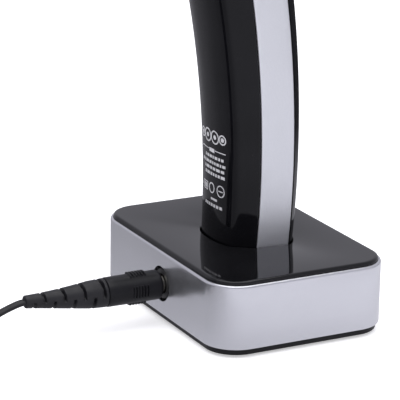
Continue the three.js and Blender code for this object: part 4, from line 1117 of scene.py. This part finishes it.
def make_reflection_card():
    """A card just over the floor that only shiny surfaces see: bright on the strip's side, dimmer behind
    the plug, and dark on the -Y side of the object."""
    h, z = CARD_HALF, CARD_HEIGHT
    card = new_solid([(-h, -h, z), (h, -h, z), (h, h, z), (-h, h, z)], [(0, 1, 2, 3)], "card")
    look = bpy.data.materials.new("card")
    look.use_nodes = True
    nodes, links = look.node_tree.nodes, look.node_tree.links
    nodes.clear()
    out = nodes.new("ShaderNodeOutputMaterial")
    glow = nodes.new("ShaderNodeEmission")
    glow.inputs["Color"].default_value = CARD_COLOUR
    place = nodes.new("ShaderNodeTexCoord")

    def along(axis, low, high, first=0.0, last=1.0, curve="LINEAR"):
        dot = nodes.new("ShaderNodeVectorMath")
        dot.operation = "DOT_PRODUCT"
        dot.inputs[1].default_value = axis
        links.new(place.outputs["Object"], dot.inputs[0])
        span = nodes.new("ShaderNodeMapRange")
        span.interpolation_type = curve
        for key, number in (("From Min", low), ("From Max", high), ("To Min", first), ("To Max", last)):
            span.inputs[key].default_value = number
        links.new(dot.outputs["Value"], span.inputs["Value"])
        return span.outputs[0]

    ramp = nodes.new("ShaderNodeValToRGB")
    ramp.color_ramp.interpolation = "EASE"
    stops = ramp.color_ramp.elements
    for position, value in CARD_FADE:
        stops.new(position).color = (value, value, value, 1)
    stops.remove(stops[0])
    stops.remove(stops[-1])
    links.new(along(CARD_AXIS, -CARD_REACH, CARD_REACH), ramp.inputs[0])
    both = nodes.new("ShaderNodeMath")
    both.operation = "MULTIPLY"
    links.new(ramp.outputs[0], both.inputs[0])
    links.new(along(DARK_AXIS, DARK_START, DARK_END, 1.0, DARK_LEVEL, "SMOOTHSTEP"), both.inputs[1])
    links.new(both.outputs[0], glow.inputs["Strength"])
    links.new(glow.outputs[0], out.inputs[0])
    card.data.materials.append(look)
    for ray in ("camera", "diffuse", "shadow", "transmission"):
        setattr(card, "visible_" + ray, False)


def make_light():
    world = bpy.data.worlds.new("studio")
    bpy.context.scene.world = world
    world.use_nodes = True
    ground = world.node_tree.nodes["Background"]
    ground.inputs["Color"].default_value = (0.93, 0.92, 1.02, 1)
    ground.inputs["Strength"].default_value = 0.64
    data = bpy.data.lights.new("over", "AREA")
    data.shape = "SQUARE"
    data.size = 2.4
    data.energy = 34.0
    lamp = bpy.data.objects.new("over", data)
    lamp.location = (-0.2, 0.2, 1.9)
    bpy.context.scene.collection.objects.link(lamp)
    view = bpy.context.scene.view_settings
    view.view_transform = "Standard"
    view.look = "None"
    view.exposure = 0.0
    view.gamma = 1.0


make_band()
make_plate()
make_tray()
make_jack()
make_shells()
make_marks()
make_head()
make_comb()
make_dial()
make_controls()
make_screws()
make_plug()
adapter_relief = make_reliefs()
lead_tie = make_tie()

[[float(c) * MM for c in p] for p in lead_path]

make_floor()
make_reflection_card()
make_light()
